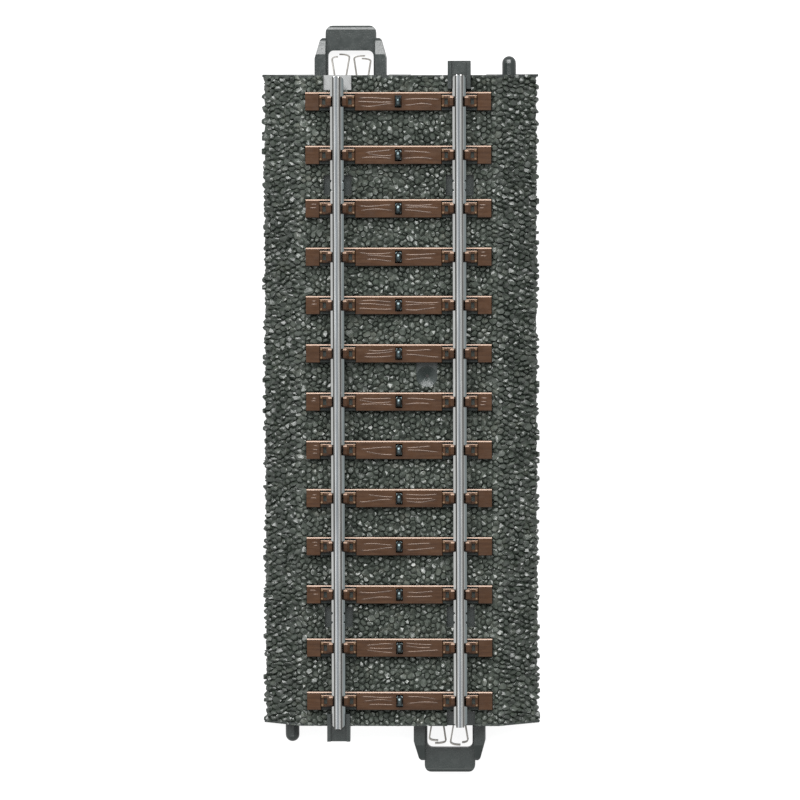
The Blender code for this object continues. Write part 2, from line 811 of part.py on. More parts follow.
def build_stud_strip(metal):
    low = (-STRIP_HALF_WIDTH, -STRIP_END_Y, STRIP_Z[0])
    high = (STRIP_HALF_WIDTH, STRIP_END_Y, STRIP_Z[1])
    strip = add_part("stud_strip", box_mesh((low, high)), metal)
    stud = stud_mesh()
    studs = joined(*[moved(stud, Matrix.Translation((0.0, y, 0.0))) for y in sleeper_ys()])
    combine(strip, "UNION", studs, "studs")
    shape = bmesh.new()
    for y in STAKE_YS:
        bmesh.ops.create_cone(
            shape,
            cap_ends=True,
            segments=16,
            radius1=STAKE_RADIUS + 2 * POCKET_GAP,
            radius2=STAKE_RADIUS + 2 * POCKET_GAP,
            depth=2.0,
            matrix=Matrix.Translation((0.0, y, STRIP_Z[0])),
        )
    holes = bpy.data.meshes.new("stake_holes")
    shape.to_mesh(holes)
    shape.free()
    combine(strip, "DIFFERENCE", holes, "stake_holes")


def build_rail_links(metal):
    """The strip that ties both rails together at each end, with a tab up to each rail's foot."""
    half_y = LINK_WIDTH / 2
    low = (-LINK_HALF_LENGTH, WELD_Y - half_y, LINK_Z[0])
    high = (LINK_HALF_LENGTH, WELD_Y + half_y, LINK_Z[1])
    link = add_part("rail_link_north", box_mesh((low, high)), metal)
    tabs = []
    for x in (-RAIL_X, RAIL_X):
        corner = Vector((x, WELD_Y, 0.0))
        size = Vector((WELD_TAB[0] / 2, WELD_TAB[1] / 2, 0.0))
        bottom = corner - size + Vector((0.0, 0.0, sum(LINK_Z) / 2))
        top = corner + size + Vector((0.0, 0.0, RAIL_BOTTOM_Z - POCKET_GAP))
        tabs.append((bottom, top))
    combine(link, "UNION", box_mesh(*tabs), "tabs")
    freeze(link)
    half_turn_copy(link, "rail_link_south")


# Couplings and contacts ------------------------------------------------------------------------


def hoop_plan():
    """The hoop's outline from above, about its own middle, with y from the track's middle."""
    window = END_Y + WINDOW_END
    far = END_Y + BAND_END
    leg_end = END_Y + LEG_END
    outer = [
        (LEG_HALF_WIDTH, HOOP_HINGE_Y),
        (LEG_HALF_WIDTH, END_Y + LEG_TAPER_START),
        (LEG_END_HALF_WIDTH, leg_end - LEG_END_CORNER),
        (LEG_END_HALF_WIDTH - LEG_END_CORNER, leg_end),
        (BAND_HALF_WIDTH, leg_end),
        *arc((BAND_HALF_WIDTH - BAND_CORNER, far - BAND_CORNER), BAND_CORNER, 0, 90, 5),
    ]
    inner = [
        *arc(
            (WINDOW_HALF_WIDTH - WINDOW_CORNER, window - WINDOW_CORNER), WINDOW_CORNER, 90, 0, 5
        ),
        (WINDOW_HALF_WIDTH, HOOP_HINGE_Y),
    ]
    left = [(-x, y) for x, y in reversed(outer)]
    left_inner = [(-x, y) for x, y in reversed(inner)]
    return [*outer, *left, *left_inner, *inner]


def hoop_band_side():
    """The band's section along the hoop; the plan then cuts its near end to length."""
    far = END_Y + BAND_END + PLAN_MARGIN
    near = HOOP_HINGE_Y - THROUGH
    return [
        (near, HOOP_BOTTOM_Z),
        (far, HOOP_BOTTOM_Z),
        *arc((far - BAND_NOSE, BAND_TOP_Z - BAND_NOSE), BAND_NOSE, 0, 90, 5),
        (near, BAND_TOP_Z),
    ]


def hoop_leg_side():
    """A leg's section above the band: level, then a ramp down to a blunt nose."""
    end = END_Y + LEG_END + PLAN_MARGIN
    near = HOOP_HINGE_Y - 2 * THROUGH
    inside_band = (HOOP_BOTTOM_Z + BAND_TOP_Z) / 2
    return [
        (near, inside_band),
        (end, inside_band),
        (end, LEG_NOSE_Z - LEG_NOSE),
        (end - LEG_NOSE, LEG_NOSE_Z),
        (END_Y + LEG_RAMP_START, LEG_TOP_Z),
        (near, LEG_TOP_Z),
    ]


def build_hoops(plastic):
    place = Matrix.Translation((HOOP_X, 0.0, 0.0))
    pivot = (HOOP_X, HOOP_HINGE_Y, HOOP_HINGE_Z)
    past = LEG_HALF_WIDTH + THROUGH
    band = side_mesh(hoop_band_side(), -past - THROUGH, past + THROUGH)
    hoop = add_part("latch_hoop_north", moved(band, place), plastic, pivot)
    left = side_mesh(hoop_leg_side(), -past, -LEG_INNER)
    right = side_mesh(hoop_leg_side(), LEG_INNER, past)
    combine(hoop, "UNION", moved(joined(left, right), place), "legs")
    plan = plate_mesh(hoop_plan(), HOOP_BOTTOM_Z - THROUGH, LEG_TOP_Z + THROUGH)
    combine(hoop, "INTERSECT", moved(plan, place), "plan")
    freeze(hoop)
    half_turn_copy(hoop, "latch_hoop_south")


def arm_path(side, bulge, bulge_y, tip_in, reach):
    """An arm's path from its root: out of the opening, round the bulge and in to the tip."""
    face = END_Y - ARM_ROOT_Y
    start = Vector((side * bulge, face + bulge_y))
    corner = Vector((side * bulge, face + reach))
    tip = Vector((-side * tip_in, face + reach))
    path = [Vector((0.0, 0.0)), Vector((0.0, face))]
    for step in range(ARM_BEND_STEPS + 1):
        t = step / ARM_BEND_STEPS
        path.append(start * (1 - t) ** 2 + corner * 2 * t * (1 - t) + tip * t**2)
    return path


def build_arm(name, plug_x, side, path, metal):
    """A thin upright sheet along the path, hinged at its root."""
    root = Vector((plug_x + side * ARM_SPREAD, ARM_ROOT_Y, ARM_Z[0]))
    shape = bmesh.new()
    verts = [shape.verts.new((root.x + point.x, root.y + point.y, root.z)) for point in path]
    edges = [shape.edges.new(pair) for pair in zip(verts, verts[1:])]
    raised = bmesh.ops.extrude_edge_only(shape, edges=edges)["geom"]
    new_verts = [item for item in raised if isinstance(item, bmesh.types.BMVert)]
    bmesh.ops.translate(shape, verts=new_verts, vec=(0.0, 0.0, ARM_Z[1] - ARM_Z[0]))
    bmesh.ops.recalc_face_normals(shape, faces=shape.faces)
    mesh = bpy.data.meshes.new(name)
    shape.to_mesh(mesh)
    shape.free()
    arm = add_part(name, mesh, metal, root)
    solid = arm.modifiers.new("sheet", "SOLIDIFY")
    solid.thickness = SHEET * MM
    solid.offset = 0.0
    solid.use_even_offset = True
    freeze(arm)
    return arm


def build_arms(metal):
    for name, plug_x, side, bulge, bulge_y, tip_in, reach in ARMS:
        path = arm_path(side, bulge, bulge_y, tip_in, reach)
        arm = build_arm(f"{name}_north", plug_x, side, path, metal)
        half_turn_copy(arm, f"{name}_south")


def foot_meshes(x, is_rail, web_y, reach_in):
    """The foot of a plug or socket: to the rail link, or across to the stud strip."""
    back = WELD_Y + WELD_TAB[1] if is_rail else CROSS_FOOT_YS[0]
    run = ((x - FOOT_HALF_WIDTH, back, FOOT_Z[0]), (x + FOOT_HALF_WIDTH, web_y + reach_in, FOOT_Z[1]))
    if is_rail:
        return [box_mesh(run)]
    xs = sorted((x, math.copysign(CROSS_FOOT_END_X, x)))
    cross = (
        (xs[0], CROSS_FOOT_YS[0] + LAP, FOOT_Z[0] - LAP),
        (xs[1], CROSS_FOOT_YS[1], FOOT_Z[1] - LAP),
    )
    return [box_mesh(run), box_mesh(cross)]


def build_plug_base(name, x, is_rail, metal):
    half = ARM_SPREAD + SHEET / 2
    web = box_mesh(((x - half, WEB_Y, ARM_Z[0]), (x + half, WEB_Y + SHEET, FOOT_Z[1] - LAP)))
    base = add_part(f"{name}_north", web, metal)
    for number, foot in enumerate(foot_meshes(x, is_rail, WEB_Y, SHEET / 2)):
        combine(base, "UNION", foot, f"foot_{number}")
    freeze(base)
    half_turn_copy(base, f"{name}_south")


def build_socket(name, x, is_rail, metal):
    """A sheet folded round the space that a mating plug's arms squeeze into."""
    outer = SOCKET_INNER + SHEET
    plan = [
        (x - outer, SOCKET_FRONT_Y),
        (x - outer, SOCKET_WEB_Y),
        (x + outer, SOCKET_WEB_Y),
        (x + outer, SOCKET_FRONT_Y),
        (x + SOCKET_INNER, SOCKET_FRONT_Y),
        (x + SOCKET_INNER, SOCKET_WEB_Y + SHEET),
        (x - SOCKET_INNER, SOCKET_WEB_Y + SHEET),
        (x - SOCKET_INNER, SOCKET_FRONT_Y),
    ]
    socket = add_part(f"{name}_north", plate_mesh(plan, *SOCKET_Z), metal)
    half = FOOT_HALF_WIDTH - LAP
    rise = (
        (x - half, SOCKET_WEB_Y + LAP, SOCKET_Z[0] + LAP),
        (x + half, SOCKET_WEB_Y + SHEET - LAP, FOOT_Z[1] - LAP),
    )
    combine(socket, "UNION", box_mesh(rise), "rise")
    for number, foot in enumerate(foot_meshes(x, is_rail, SOCKET_WEB_Y, SHEET / 2)):
        combine(socket, "UNION", foot, f"foot_{number}")
    freeze(socket)
    half_turn_copy(socket, f"{name}_south")


clear_scene()
bpy.context.scene.collection.children.link(parts)
bpy.context.scene.collection.children.link(cutters)

ballast_plastic = make_material("ballast_plastic", (0.055, 0.065, 0.060), 0.55, 0.0)
sleeper_plastic = make_material("sleeper_plastic", (0.105, 0.060, 0.042), 0.5, 0.0)
rail_steel = make_material("rail_steel", (0.62, 0.62, 0.63), 0.28, 1.0)
stud_metal = make_material("stud_metal", (0.06, 0.07, 0.08), 0.35, 1.0)
spring_metal = make_material("spring_metal", (0.66, 0.65, 0.62), 0.3, 1.0)

build_roadbed(ballast_plastic)
build_sleepers(sleeper_plastic)
build_rail("rail_left", -1, rail_steel)
build_rail("rail_right", 1, rail_steel)
build_stud_strip(stud_metal)
build_rail_links(spring_metal)
build_hoops(ballast_plastic)
build_arms(spring_metal)
build_plug_base("rail_plug_base", RAIL_PLUG_X, True, spring_metal)
build_plug_base("centre_plug_base", CENTRE_PLUG_X, False, spring_metal)
build_socket("rail_socket", -RAIL_PLUG_X, True, spring_metal)
build_socket("centre_socket", -CENTRE_PLUG_X, False, spring_metal)
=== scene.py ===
"""Looks for a straight model track section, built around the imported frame.

The loose ballast, the printed wooden sleepers and the drawn rails are modelled here.  Everything
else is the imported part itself, which gets rounded edges and its own materials.  Lengths are in
millimetres until a mesh is finished, which is where MM turns them into metres.
"""

import math
import random

import bmesh
import bpy
from mathutils import Matrix, Vector, geometry


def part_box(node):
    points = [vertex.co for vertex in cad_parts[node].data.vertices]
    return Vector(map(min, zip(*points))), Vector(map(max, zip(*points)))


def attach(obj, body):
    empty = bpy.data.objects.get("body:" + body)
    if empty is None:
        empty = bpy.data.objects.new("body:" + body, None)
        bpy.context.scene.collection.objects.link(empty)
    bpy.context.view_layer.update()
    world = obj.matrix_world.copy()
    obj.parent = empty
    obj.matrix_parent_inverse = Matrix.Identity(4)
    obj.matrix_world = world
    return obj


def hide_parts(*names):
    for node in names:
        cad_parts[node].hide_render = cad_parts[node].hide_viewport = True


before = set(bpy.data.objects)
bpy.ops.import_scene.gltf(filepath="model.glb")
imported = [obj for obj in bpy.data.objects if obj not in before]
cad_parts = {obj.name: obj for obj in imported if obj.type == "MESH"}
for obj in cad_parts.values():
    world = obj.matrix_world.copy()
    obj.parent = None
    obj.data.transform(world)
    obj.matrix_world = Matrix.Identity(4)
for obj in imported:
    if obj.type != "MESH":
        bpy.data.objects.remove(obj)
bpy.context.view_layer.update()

MM = 0.001


def millimetres(node):
    """A CAD node's lowest and highest corners, in millimetres."""
    low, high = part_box(node)
    return low / MM, high / MM


BED_HIGH = millimetres("roadbed")[1]
RIGHT_LOW, RIGHT_HIGH = millimetres("rail_right")
LINK_LOW, LINK_HIGH = millimetres("rail_link_north")
RAIL_X = (RIGHT_LOW.x + RIGHT_HIGH.x) / 2
RAIL_BOTTOM = RIGHT_LOW.z
RAIL_TOP = RIGHT_HIGH.z
END_Y = (RIGHT_HIGH.y - RIGHT_LOW.y) / 2
WELD_Y = (LINK_LOW.y + LINK_HIGH.y) / 2
SLEEPERS = sorted(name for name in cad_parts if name.startswith("sleeper_"))

# Camera
VIEW_DISTANCE = 1276.0
VIEW_NORTH = math.radians(3.3)  # how far the camera stands off the vertical, along +Y and +X
VIEW_EAST = math.radians(2.4)
VIEW_ROLL = math.radians(0.154)
VIEW_WIDTH = 116.2
VIEW_TARGET = (-0.16, -0.18, 0.0)
SENSOR = 36.0

# Studio: each light's name, lean to the north and to the east in degrees, size and power
SOFTBOXES = (
    ("key", 36.0, -3.0, (1200.0, 780.0), 32.0),
    ("fill_left", 0.0, -58.0, (700.0, 1200.0), 1.1),
    ("fill_south", -27.0, 6.0, (900.0, 500.0), 2.0),
)
LIGHT_DISTANCE = 1000.0
WORLD_COLOUR = (0.98, 1.0, 1.0, 1.0)
WORLD_STRENGTH = 0.65
FLOOR_HALF = 3000.0
FLOOR_GREY = 0.14
# The low glow under the object is a painted shadow
FLOOR_GLOW = (0.06, 0.9)  # under the object, beside it
FLOOR_BOUNCE = 0.45  # share of the floor's glow that lights the object

# Ballast: the faces between the stones lie just above the shell's own
SHELL_BASE_X = BED_HIGH.x - 0.45
SHELL_CREST_X = 14.05
SHELL_RIM_Z = 0.5
SHELL_CREST_Z = 6.2
STONE_SEED = 7
STONE_PITCH = 0.86  # seen from above, on the crest and on the slopes alike
STONE_JITTER = 0.42
STONE_HEIGHT = (0.4, 0.74)
STONE_TILT = 0.5
STONE_SHOULDER = (0.75, 0.75)  # share of the way out, share of the height
STONE_FLAT = (0.38, 1.0)  # the same for the edge of the top, on the stones that have one
FLAT_SHARE = 0.3  # how many have one
FLAT_PEAK = 1.06  # height of their middle, as a share of the stone's height
SHARP_PEAK = (1.12, 1.34)  # the same for the others
STONE_LEAN = 0.2  # how far a stone's peak may be off its middle
UNEVEN_REACH = (0.8, 1.14)  # spread of a stone's corners, as shares of their reach and height
UNEVEN_LEVEL = (0.82, 1.12)
LOWEST_CORNER = 0.07
UPRIGHT_SHARE = 0.5  # how far the stones of a slope turn from the slope's normal to upright
TERRACE = 0.4  # how far their tops turn from the slope's tilt to level
WALL_NORMAL = 0.3  # below this, a normal's Z is that of an upright wall and not of a slope
RIM_HEIGHTS = (0.3, 0.4, 0.5, 0.65, 1.15)  # stones on the rim are lower, but for a few
CREVICE = (0.03, 0.16)
RIM_BAND = 0.2  # stones up to this far in from the rim count as being on it
MARGIN = 1.6  # how far the field of stones runs past what is kept of it, and cutters past it
FIELD_TAPER = 0.9  # narrows the field's closed underside, which is all cut away
LAYER_DEPTH = 0.1
CLEARANCE = 0.03
CORNER_BLEND = 0.6
TIP_REACH = 0.12  # how far a stone's tip may pass the lips at the ends
RIM_SHARE = 0.8  # how much of its height the upright rim counts for in the spacing of stones
FLOOR_GAP = 0.02

# Cutters for what interrupts the ballast
NOTCH = (4.0, 2.1)
TONGUE = (3.3, 1.9)
WELD_RECESS = (4.0, 2.9)
SCREW_PLACE = (4.0, 3.6)
SCREW_RADIUS = 1.5
SCREW_CLEARING = 2.4  # smooth shell from the hole's middle to the sleeper north of it

# Studs
STUD_SIZE = (0.84, 1.4)
STUD_TOP = 8.9
STUD_DOME_Z = 8.35
STUD_CUT_Z = 7.6
STUD_OVERLAP = 0.1
STUD_SIDES = 28
STUD_SQUARE = 0.72  # below 1, the outline is squarer than an ellipse
STUD_RINGS = (20, 38, 54, 68, 80)  # degrees up the dome

# Sleepers
SLEEPER_TOP = 7.7
SLEEPER_SEED = 31
LEDGE_Z = 7.3
MIDDLE_BLOCK = 6.25
END_BLOCK = 11.4
BLOCK_TURN = 0.12  # width of the turn from a block down to the ledge
LEDGE_TURN = 0.1
EDGE_WIDTH = 0.17  # the sloping edge on the north side, with a lip along its top
EDGE_DROP = 0.1
LIP_WIDTH = 0.05
LIP_HEIGHT = 0.03
SOUTH_ROUND = (0.1, 0.08)  # width and drop of the rounded edge on the south side
GRAIN_HALF_WIDTH = 0.068
GRAIN_HEIGHT = 0.027
GRAIN_LANES = ((0.48, 0.02, -0.5), (0.42, -0.3), (0.5, 0.1, -0.45), (0.3, -0.45))
DASH_SHARE = 0.4  # how many end blocks have dashes
BAR_PITCH = (0.11, 0.042)
STUD_SLOT = (1.0, 1.8)
PLATE = (5.1, 1.75, 7.95)  # length, width, top
PLATE_ROOT = 0.2
PLATE_EDGE = 0.1
CLAMP_INNER = 0.82
CLAMP_OUTER = 1.62
CLAMP_WIDTH = 1.5
CLAMP_TOP = 8.8
CLAMP_EDGE = 0.22
CLAMP_BEVEL = (0.3, 0.28)
CLAMP_ROOT = 0.1
CLAMP_GAP = 0.05  # between the clamp and the rail's foot
LIP_BOTTOM = 8.5
PIT = (1.64, 2.14, 0.44, 7.38)  # nearest, furthest, half width, floor
BOLT_X = 2.34
BOLT_Y = 0.6
BOLT_RADIUS = 0.22
BOLT_STRETCH = 1.1
BOLT_TOP = 8.25
BOLT_ROOT = (0.1, 0.14)  # how far the foot of a bolt and its lowest point reach into the plate

# Rails
FOOT_HALF = (RIGHT_HIGH.x - RIGHT_LOW.x) / 2
FOOT_EDGE_Z = 0.25
FOOT_TOP_Z = 0.7
FILLET_CENTRE = (0.49, 0.64)
FILLET_RADIUS = 0.2
WEB_HALF = 0.25
WEB_Z = (0.9, 1.4)
HEAD_HALF = 0.575
HEAD_UNDER_Z = 1.68
HEAD_CORNER = 0.2
HEAD_CROWN = 0.05
SMALL_ROUND = 0.06
FOOT_CUT = 0.4  # how far the foot's corners are cut off at the ends
END_INSETS = (0.04, 0.06, FOOT_CUT)  # where sections follow the one at the very end
END_NARROWING = 0.95
END_DROP = 0.05
END_LIFT = 0.02
STAKE_PITCH = 1.33
STAKE_RADIUS = 0.2
STAKE_STATIONS = (-1, -0.9, -0.6, 0, 0.6, 0.9, 1)

HOOP_ROUND = 0.14
HOOP_ROUND_STEPS = 3
HOOP_ROUND_ANGLE = 28  # degrees between two faces, above which their edge is rounded

# Sockets of Blender's colour mixing node
MIX_FACTOR, MIX_A, MIX_B, MIX_RESULT = 0, 6, 7, 2


# Mesh helpers ----------------------------------------------------------------------------------


def new_object(name, mesh):
    """An object from a mesh in millimetres."""
    mesh.transform(Matrix.Scale(MM, 4))
    made = bpy.data.objects.new(name, mesh)
    bpy.context.scene.collection.objects.link(made)
    return made


def mesh_from(shape, name="shape"):
    mesh = bpy.data.meshes.new(name)
    shape.to_mesh(mesh)
    shape.free()
    return mesh


def add_box(shape, low, high):
    low = Vector(low)
    high = Vector(high)
    size = Matrix.Diagonal((*(high - low), 1.0))
    bmesh.ops.create_cube(shape, size=1.0, matrix=Matrix.Translation((low + high) / 2) @ size)


def add_prism(shape, outline, low_y, high_y):
    """An outline in X and Z as a solid from low_y to high_y."""
    rings = []
    for y in (low_y, high_y):
        rings.append([shape.verts.new((x, y, z)) for x, z in outline])
    near, far = rings
    count = len(outline)
    faces = [shape.faces.new(near), shape.faces.new(list(reversed(far)))]
    for i in range(count):
        j = (i + 1) % count
        faces.append(shape.faces.new((near[j], near[i], far[i], far[j])))
    bmesh.ops.recalc_face_normals(shape, faces=faces)


def add_sides(shape, rings):
    """Faces between each ring of corners and the next one."""
    faces = []
    for lower, upper in zip(rings, rings[1:]):
        for i in range(len(lower)):
            j = (i + 1) % len(lower)
            faces.append(shape.faces.new((lower[i], lower[j], upper[j], upper[i])))
    return faces


def add_loft(shape, rings):
    """A solid through rings of corners, closed at the first and the last."""
    faces = [shape.faces.new(rings[0]), shape.faces.new(rings[-1])]
    faces += add_sides(shape, rings)
    bmesh.ops.recalc_face_normals(shape, faces=faces)


def close_below(shape, bottom, taper=1.0):
    """Makes a solid of an open skin: walls from its border down to a level, and a flat face."""
    border = [edge for edge in shape.edges if edge.is_boundary]
    dropped = bmesh.ops.extrude_edge_only(shape, edges=border)["geom"]
    for item in dropped:
        if isinstance(item, bmesh.types.BMVert):
            item.co.x *= taper
            item.co.z = bottom
    rim = [item for item in dropped if isinstance(item, bmesh.types.BMEdge)]
    bmesh.ops.holes_fill(shape, edges=rim)
    bmesh.ops.recalc_face_normals(shape, faces=shape.faces)


def arc(centre, radius, start, end, steps):
    """Points on an arc between two angles in degrees."""
    angles = [math.radians(start + (end - start) * i / steps) for i in range(steps + 1)]
    return [(centre[0] + radius * math.cos(a), centre[1] + radius * math.sin(a)) for a in angles]


def with_boolean(mesh, *steps):
    """The mesh after Boolean steps, each an operation and a tool mesh, all in millimetres."""
    holder = bpy.data.objects.new("holder", mesh)
    bpy.context.scene.collection.objects.link(holder)
    tools = []
    for operation, tool_mesh in steps:
        tool = bpy.data.objects.new("tool", tool_mesh)
        bpy.context.scene.collection.objects.link(tool)
        change = holder.modifiers.new(operation, "BOOLEAN")
        change.operation = operation
        change.solver = "MANIFOLD"
        change.object = tool
        tools.append(tool)
    bpy.context.view_layer.update()
    depsgraph = bpy.context.evaluated_depsgraph_get()
    result = bpy.data.meshes.new_from_object(holder.evaluated_get(depsgraph))
    for item in (holder, *tools):
        bpy.data.objects.remove(item)
    return result


def smooth(mesh, degrees):
    mesh.shade_smooth()
    mesh.set_sharp_from_angle(angle=math.radians(degrees))


# Ballast ---------------------------------------------------------------------------------------


def shell_corners(grow=0.0, drop=0.0):
    """The shell's section from its right foot over the crest to its left foot, as X and Z."""
    slope = Vector((SHELL_CREST_X - SHELL_BASE_X, SHELL_CREST_Z - SHELL_RIM_Z))
    reach = grow * (slope.length / abs(slope.y) - abs(slope.x / slope.y))
    right = [
        (SHELL_BASE_X + grow, -drop),
        (SHELL_BASE_X + grow, SHELL_RIM_Z + reach),
        (SHELL_CREST_X + reach, SHELL_CREST_Z + grow),
    ]
    return right + [(-x, z) for x, z in reversed(right)]


def shell_path():
    """The section's straight runs and the whole length, which is level length on the slopes."""
    corners = [Vector(corner) for corner in shell_corners(drop=MARGIN)]
    runs = []
    before = 0.0
    for start, end in zip(corners, corners[1:]):
        along = (end - start).normalized()
        length = max(abs(end.x - start.x), RIM_SHARE * abs(end.y - start.y) * (start.x == end.x))
        runs.append((start, end, Vector((along.y, -along.x)), before, length))
        before += length
    return runs, before


def on_shell(runs, u):
    """The point and the normal at a length u along the section, turning smoothly at corners."""
    index = max(i for i, run in enumerate(runs) if i == 0 or u >= run[3])
    start, end, normal, before, length = runs[index]
    away = u - before
    point = start + (end - start) * away / length
    if index > 0 and away < CORNER_BLEND:
        share = 0.5 + away / CORNER_BLEND / 2
        normal = runs[index - 1][2].lerp(normal, share)
    elif index < len(runs) - 1 and length - away < CORNER_BLEND:
        share = 0.5 + (length - away) / CORNER_BLEND / 2
        normal = runs[index + 1][2].lerp(normal, share)
    return point, normal.normalized()


def stone_sites(rng, length):
    """Middles of the stones on the unrolled shell: u across the section, v along the track."""
    step_u = STONE_PITCH * math.sqrt(3) / 2
    columns = round(length / step_u)
    rows = round(2 * (END_Y + MARGIN) / STONE_PITCH)
    sites = []
    for column in range(columns + 1):
        for row in range(rows + 1):
            u = length * column / columns
            v = (row - rows / 2 + (column % 2) / 2) * STONE_PITCH
            inside = 1 < column < columns - 1 and 1 < row < rows - 1
            reach = STONE_JITTER * STONE_PITCH * math.sqrt(rng.random()) if inside else 0.0
            turn = rng.uniform(0.0, math.tau)
            sites.append(Vector((u + reach * math.cos(turn), v + reach * math.sin(turn))))
    return sites


def stone_cells(sites):
    """Triangles' middles, and for each inner stone its middle and its corners in order."""
    points, _, triangles, _, _, _ = geometry.delaunay_2d_cdt(sites, [], [], 0, 1e-7)
    middles = [(points[a] + points[b] + points[c]) / 3 for a, b, c in triangles]
    around = {}
    for index, triangle in enumerate(triangles):
        for corner in triangle:
            around.setdefault(corner, []).append(index)
    cells = []
    for site, owners in sorted(around.items()):
        neighbours = {corner for owner in owners for corner in triangles[owner]}
        if len(neighbours) - 1 == len(owners):
            middle = points[site]
            offsets = {owner: middles[owner] - middle for owner in owners}
            owners.sort(key=lambda owner: math.atan2(offsets[owner].y, offsets[owner].x))
            cells.append((middle, owners))
    return middles, cells


def join_unevenly(shape, low, high, rng):
    """Two triangles between each two neighbours, parted along either diagonal."""
    for i in range(len(low)):
        j = (i + 1) % len(low)
        if rng.random() < 0.5:
            shape.faces.new((low[i], low[j], high[j]))
            shape.faces.new((low[i], high[j], high[i]))
        else:
            shape.faces.new((low[i], low[j], high[i]))
            shape.faces.new((low[j], high[j], high[i]))


def stone_field_mesh():
    """A field of stones over the whole shell, closed below by a flat face."""
    rng = random.Random(STONE_SEED)
    runs, length = shell_path()
    middles, cells = stone_cells(stone_sites(rng, length))
    shape = bmesh.new()

    def place(u_v, height):
        point, normal = on_shell(runs, u_v.x)
        upright = UPRIGHT_SHARE * min(1.0, 4 * normal.y)
        raised = point + normal.lerp(Vector((0.0, 1.0)), upright).normalized() * height
        return shape.verts.new((raised.x, u_v.y, raised.y))

    used = sorted({owner for _, owners in cells for owner in owners})
    base = {owner: place(middles[owner], rng.uniform(*CREVICE)) for owner in used}
    for middle, owners in cells:
        height = rng.uniform(*STONE_HEIGHT)
        if min(middle.x, length - middle.x) < RIM_SHARE * (MARGIN + SHELL_RIM_Z) + RIM_BAND:
            height *= rng.choice(RIM_HEIGHTS)
        tilt = Vector((rng.uniform(-STONE_TILT, STONE_TILT), rng.uniform(-STONE_TILT, STONE_TILT)))
        turn = rng.uniform(0.0, math.tau)
        lean = Vector((math.cos(turn), math.sin(turn))) * rng.uniform(0.0, STONE_LEAN)
        normal = on_shell(runs, middle.x)[1]
        if normal.y > WALL_NORMAL:
            tilt.x -= TERRACE * normal.x / max(normal.y, 0.5)
        rings = [[base[owner] for owner in owners]]
        flat_topped = rng.random() < FLAT_SHARE
        for reach, share in (STONE_SHOULDER, STONE_FLAT)[: 1 + flat_topped]:
            ring = []
            for owner in owners:
                offset = (middles[owner] - middle) * reach * rng.uniform(*UNEVEN_REACH)
                offset += lean * (1 - reach)
                level = height * share * rng.uniform(*UNEVEN_LEVEL) + tilt @ offset
                ring.append(place(middle + offset, max(LOWEST_CORNER, level)))
            rings.append(ring)
        peak = FLAT_PEAK if flat_topped else rng.uniform(*SHARP_PEAK)
        apex = place(middle + lean, height * peak + tilt @ lean)
        for low, high in zip(rings, rings[1:]):
            join_unevenly(shape, low, high, rng)
        top = rings[-1]
        for i in range(len(top)):
            shape.faces.new((top[i], top[(i + 1) % len(top)], apex))
    close_below(shape, -2 * MARGIN, FIELD_TAPER)
    return mesh_from(shape)


def kept_space_mesh():
    """The space that the stones may fill, between the floor and the two end faces."""
    shape = bmesh.new()
    reach = BED_HIGH.x + TIP_REACH
    add_box(
        shape,
        (-reach, FLOOR_GAP - END_Y, FLOOR_GAP),
        (reach, END_Y - FLOOR_GAP, SHELL_CREST_Z + 2 * MARGIN),
    )
    return mesh_from(shape)


def shell_core_mesh():
    """What lies under the layer of stones: the shell itself."""
    shape = bmesh.new()
    outline = shell_corners(grow=-LAYER_DEPTH, drop=MARGIN)
    add_prism(shape, outline, -END_Y - 2 * MARGIN, END_Y + 2 * MARGIN)
    return mesh_from(shape)


def gaps_mesh():
    """Room for the sleepers, rail tongues, notches and weld recesses."""
    shape = bmesh.new()
    high_z = SHELL_CREST_Z + MARGIN
    for name in SLEEPERS:
        low, high = millimetres(name)
        grow = Vector((2 * CLEARANCE, 2 * CLEARANCE, 2 * CLEARANCE))
        add_box(shape, low - grow, (high.x + grow.x, high.y + grow.y, high_z))
    for side in (-1, 1):
        for size, x in ((NOTCH, -side * RAIL_X), (TONGUE, side * RAIL_X)):
            half = size[0] / 2 + CLEARANCE
            ys = sorted((side * (END_Y - size[1] - CLEARANCE), side * (END_Y + MARGIN)))
            add_box(shape, (x - half, ys[0], SHELL_RIM_Z), (x + half, ys[1], high_z))
        for end in (-1, 1):
            half_x = WELD_RECESS[0] / 2 + CLEARANCE
            half_y = WELD_RECESS[1] / 2 + CLEARANCE
            x = side * RAIL_X
            y = end * WELD_Y
            low_z = SHELL_CREST_Z - MARGIN
            add_box(shape, (x - half_x, y - half_y, low_z), (x + half_x, y + half_y, high_z))
    return mesh_from(shape)


def screw_clearing_mesh():
    """Bare shell round the screw hole and from there to the sleeper north of it."""
    shape = bmesh.new()
    radius = SCREW_RADIUS + CLEARANCE
    outline = arc((0.0, 0.0), radius, 180, 360, 16)
    outline += [(radius, SCREW_CLEARING), (-radius, SCREW_CLEARING)]
    add_prism(shape, outline, -SHELL_CREST_Z - MARGIN, MARGIN - SHELL_CREST_Z)
    mesh = mesh_from(shape)
    turned = Matrix(((1, 0, 0), (0, 0, 1), (0, -1, 0))).to_4x4()
    mesh.transform(Matrix.Translation((*SCREW_PLACE, 0.0)) @ turned)
    return mesh


def build_ballast(material):
    mesh = with_boolean(
        stone_field_mesh(),
        ("INTERSECT", kept_space_mesh()),
        ("DIFFERENCE", shell_core_mesh()),
        ("DIFFERENCE", gaps_mesh()),
        ("DIFFERENCE", screw_clearing_mesh()),
    )
    smooth(mesh, 22)
    stones = new_object("ballast_stones", mesh)
    finish_piece(stones, material)


# Sleepers --------------------------------------------------------------------------------------


def bump(distance, half_width):
    """1 in the middle of a ridge, falling off on both sides."""
    return math.exp(-((distance / half_width) ** 2))


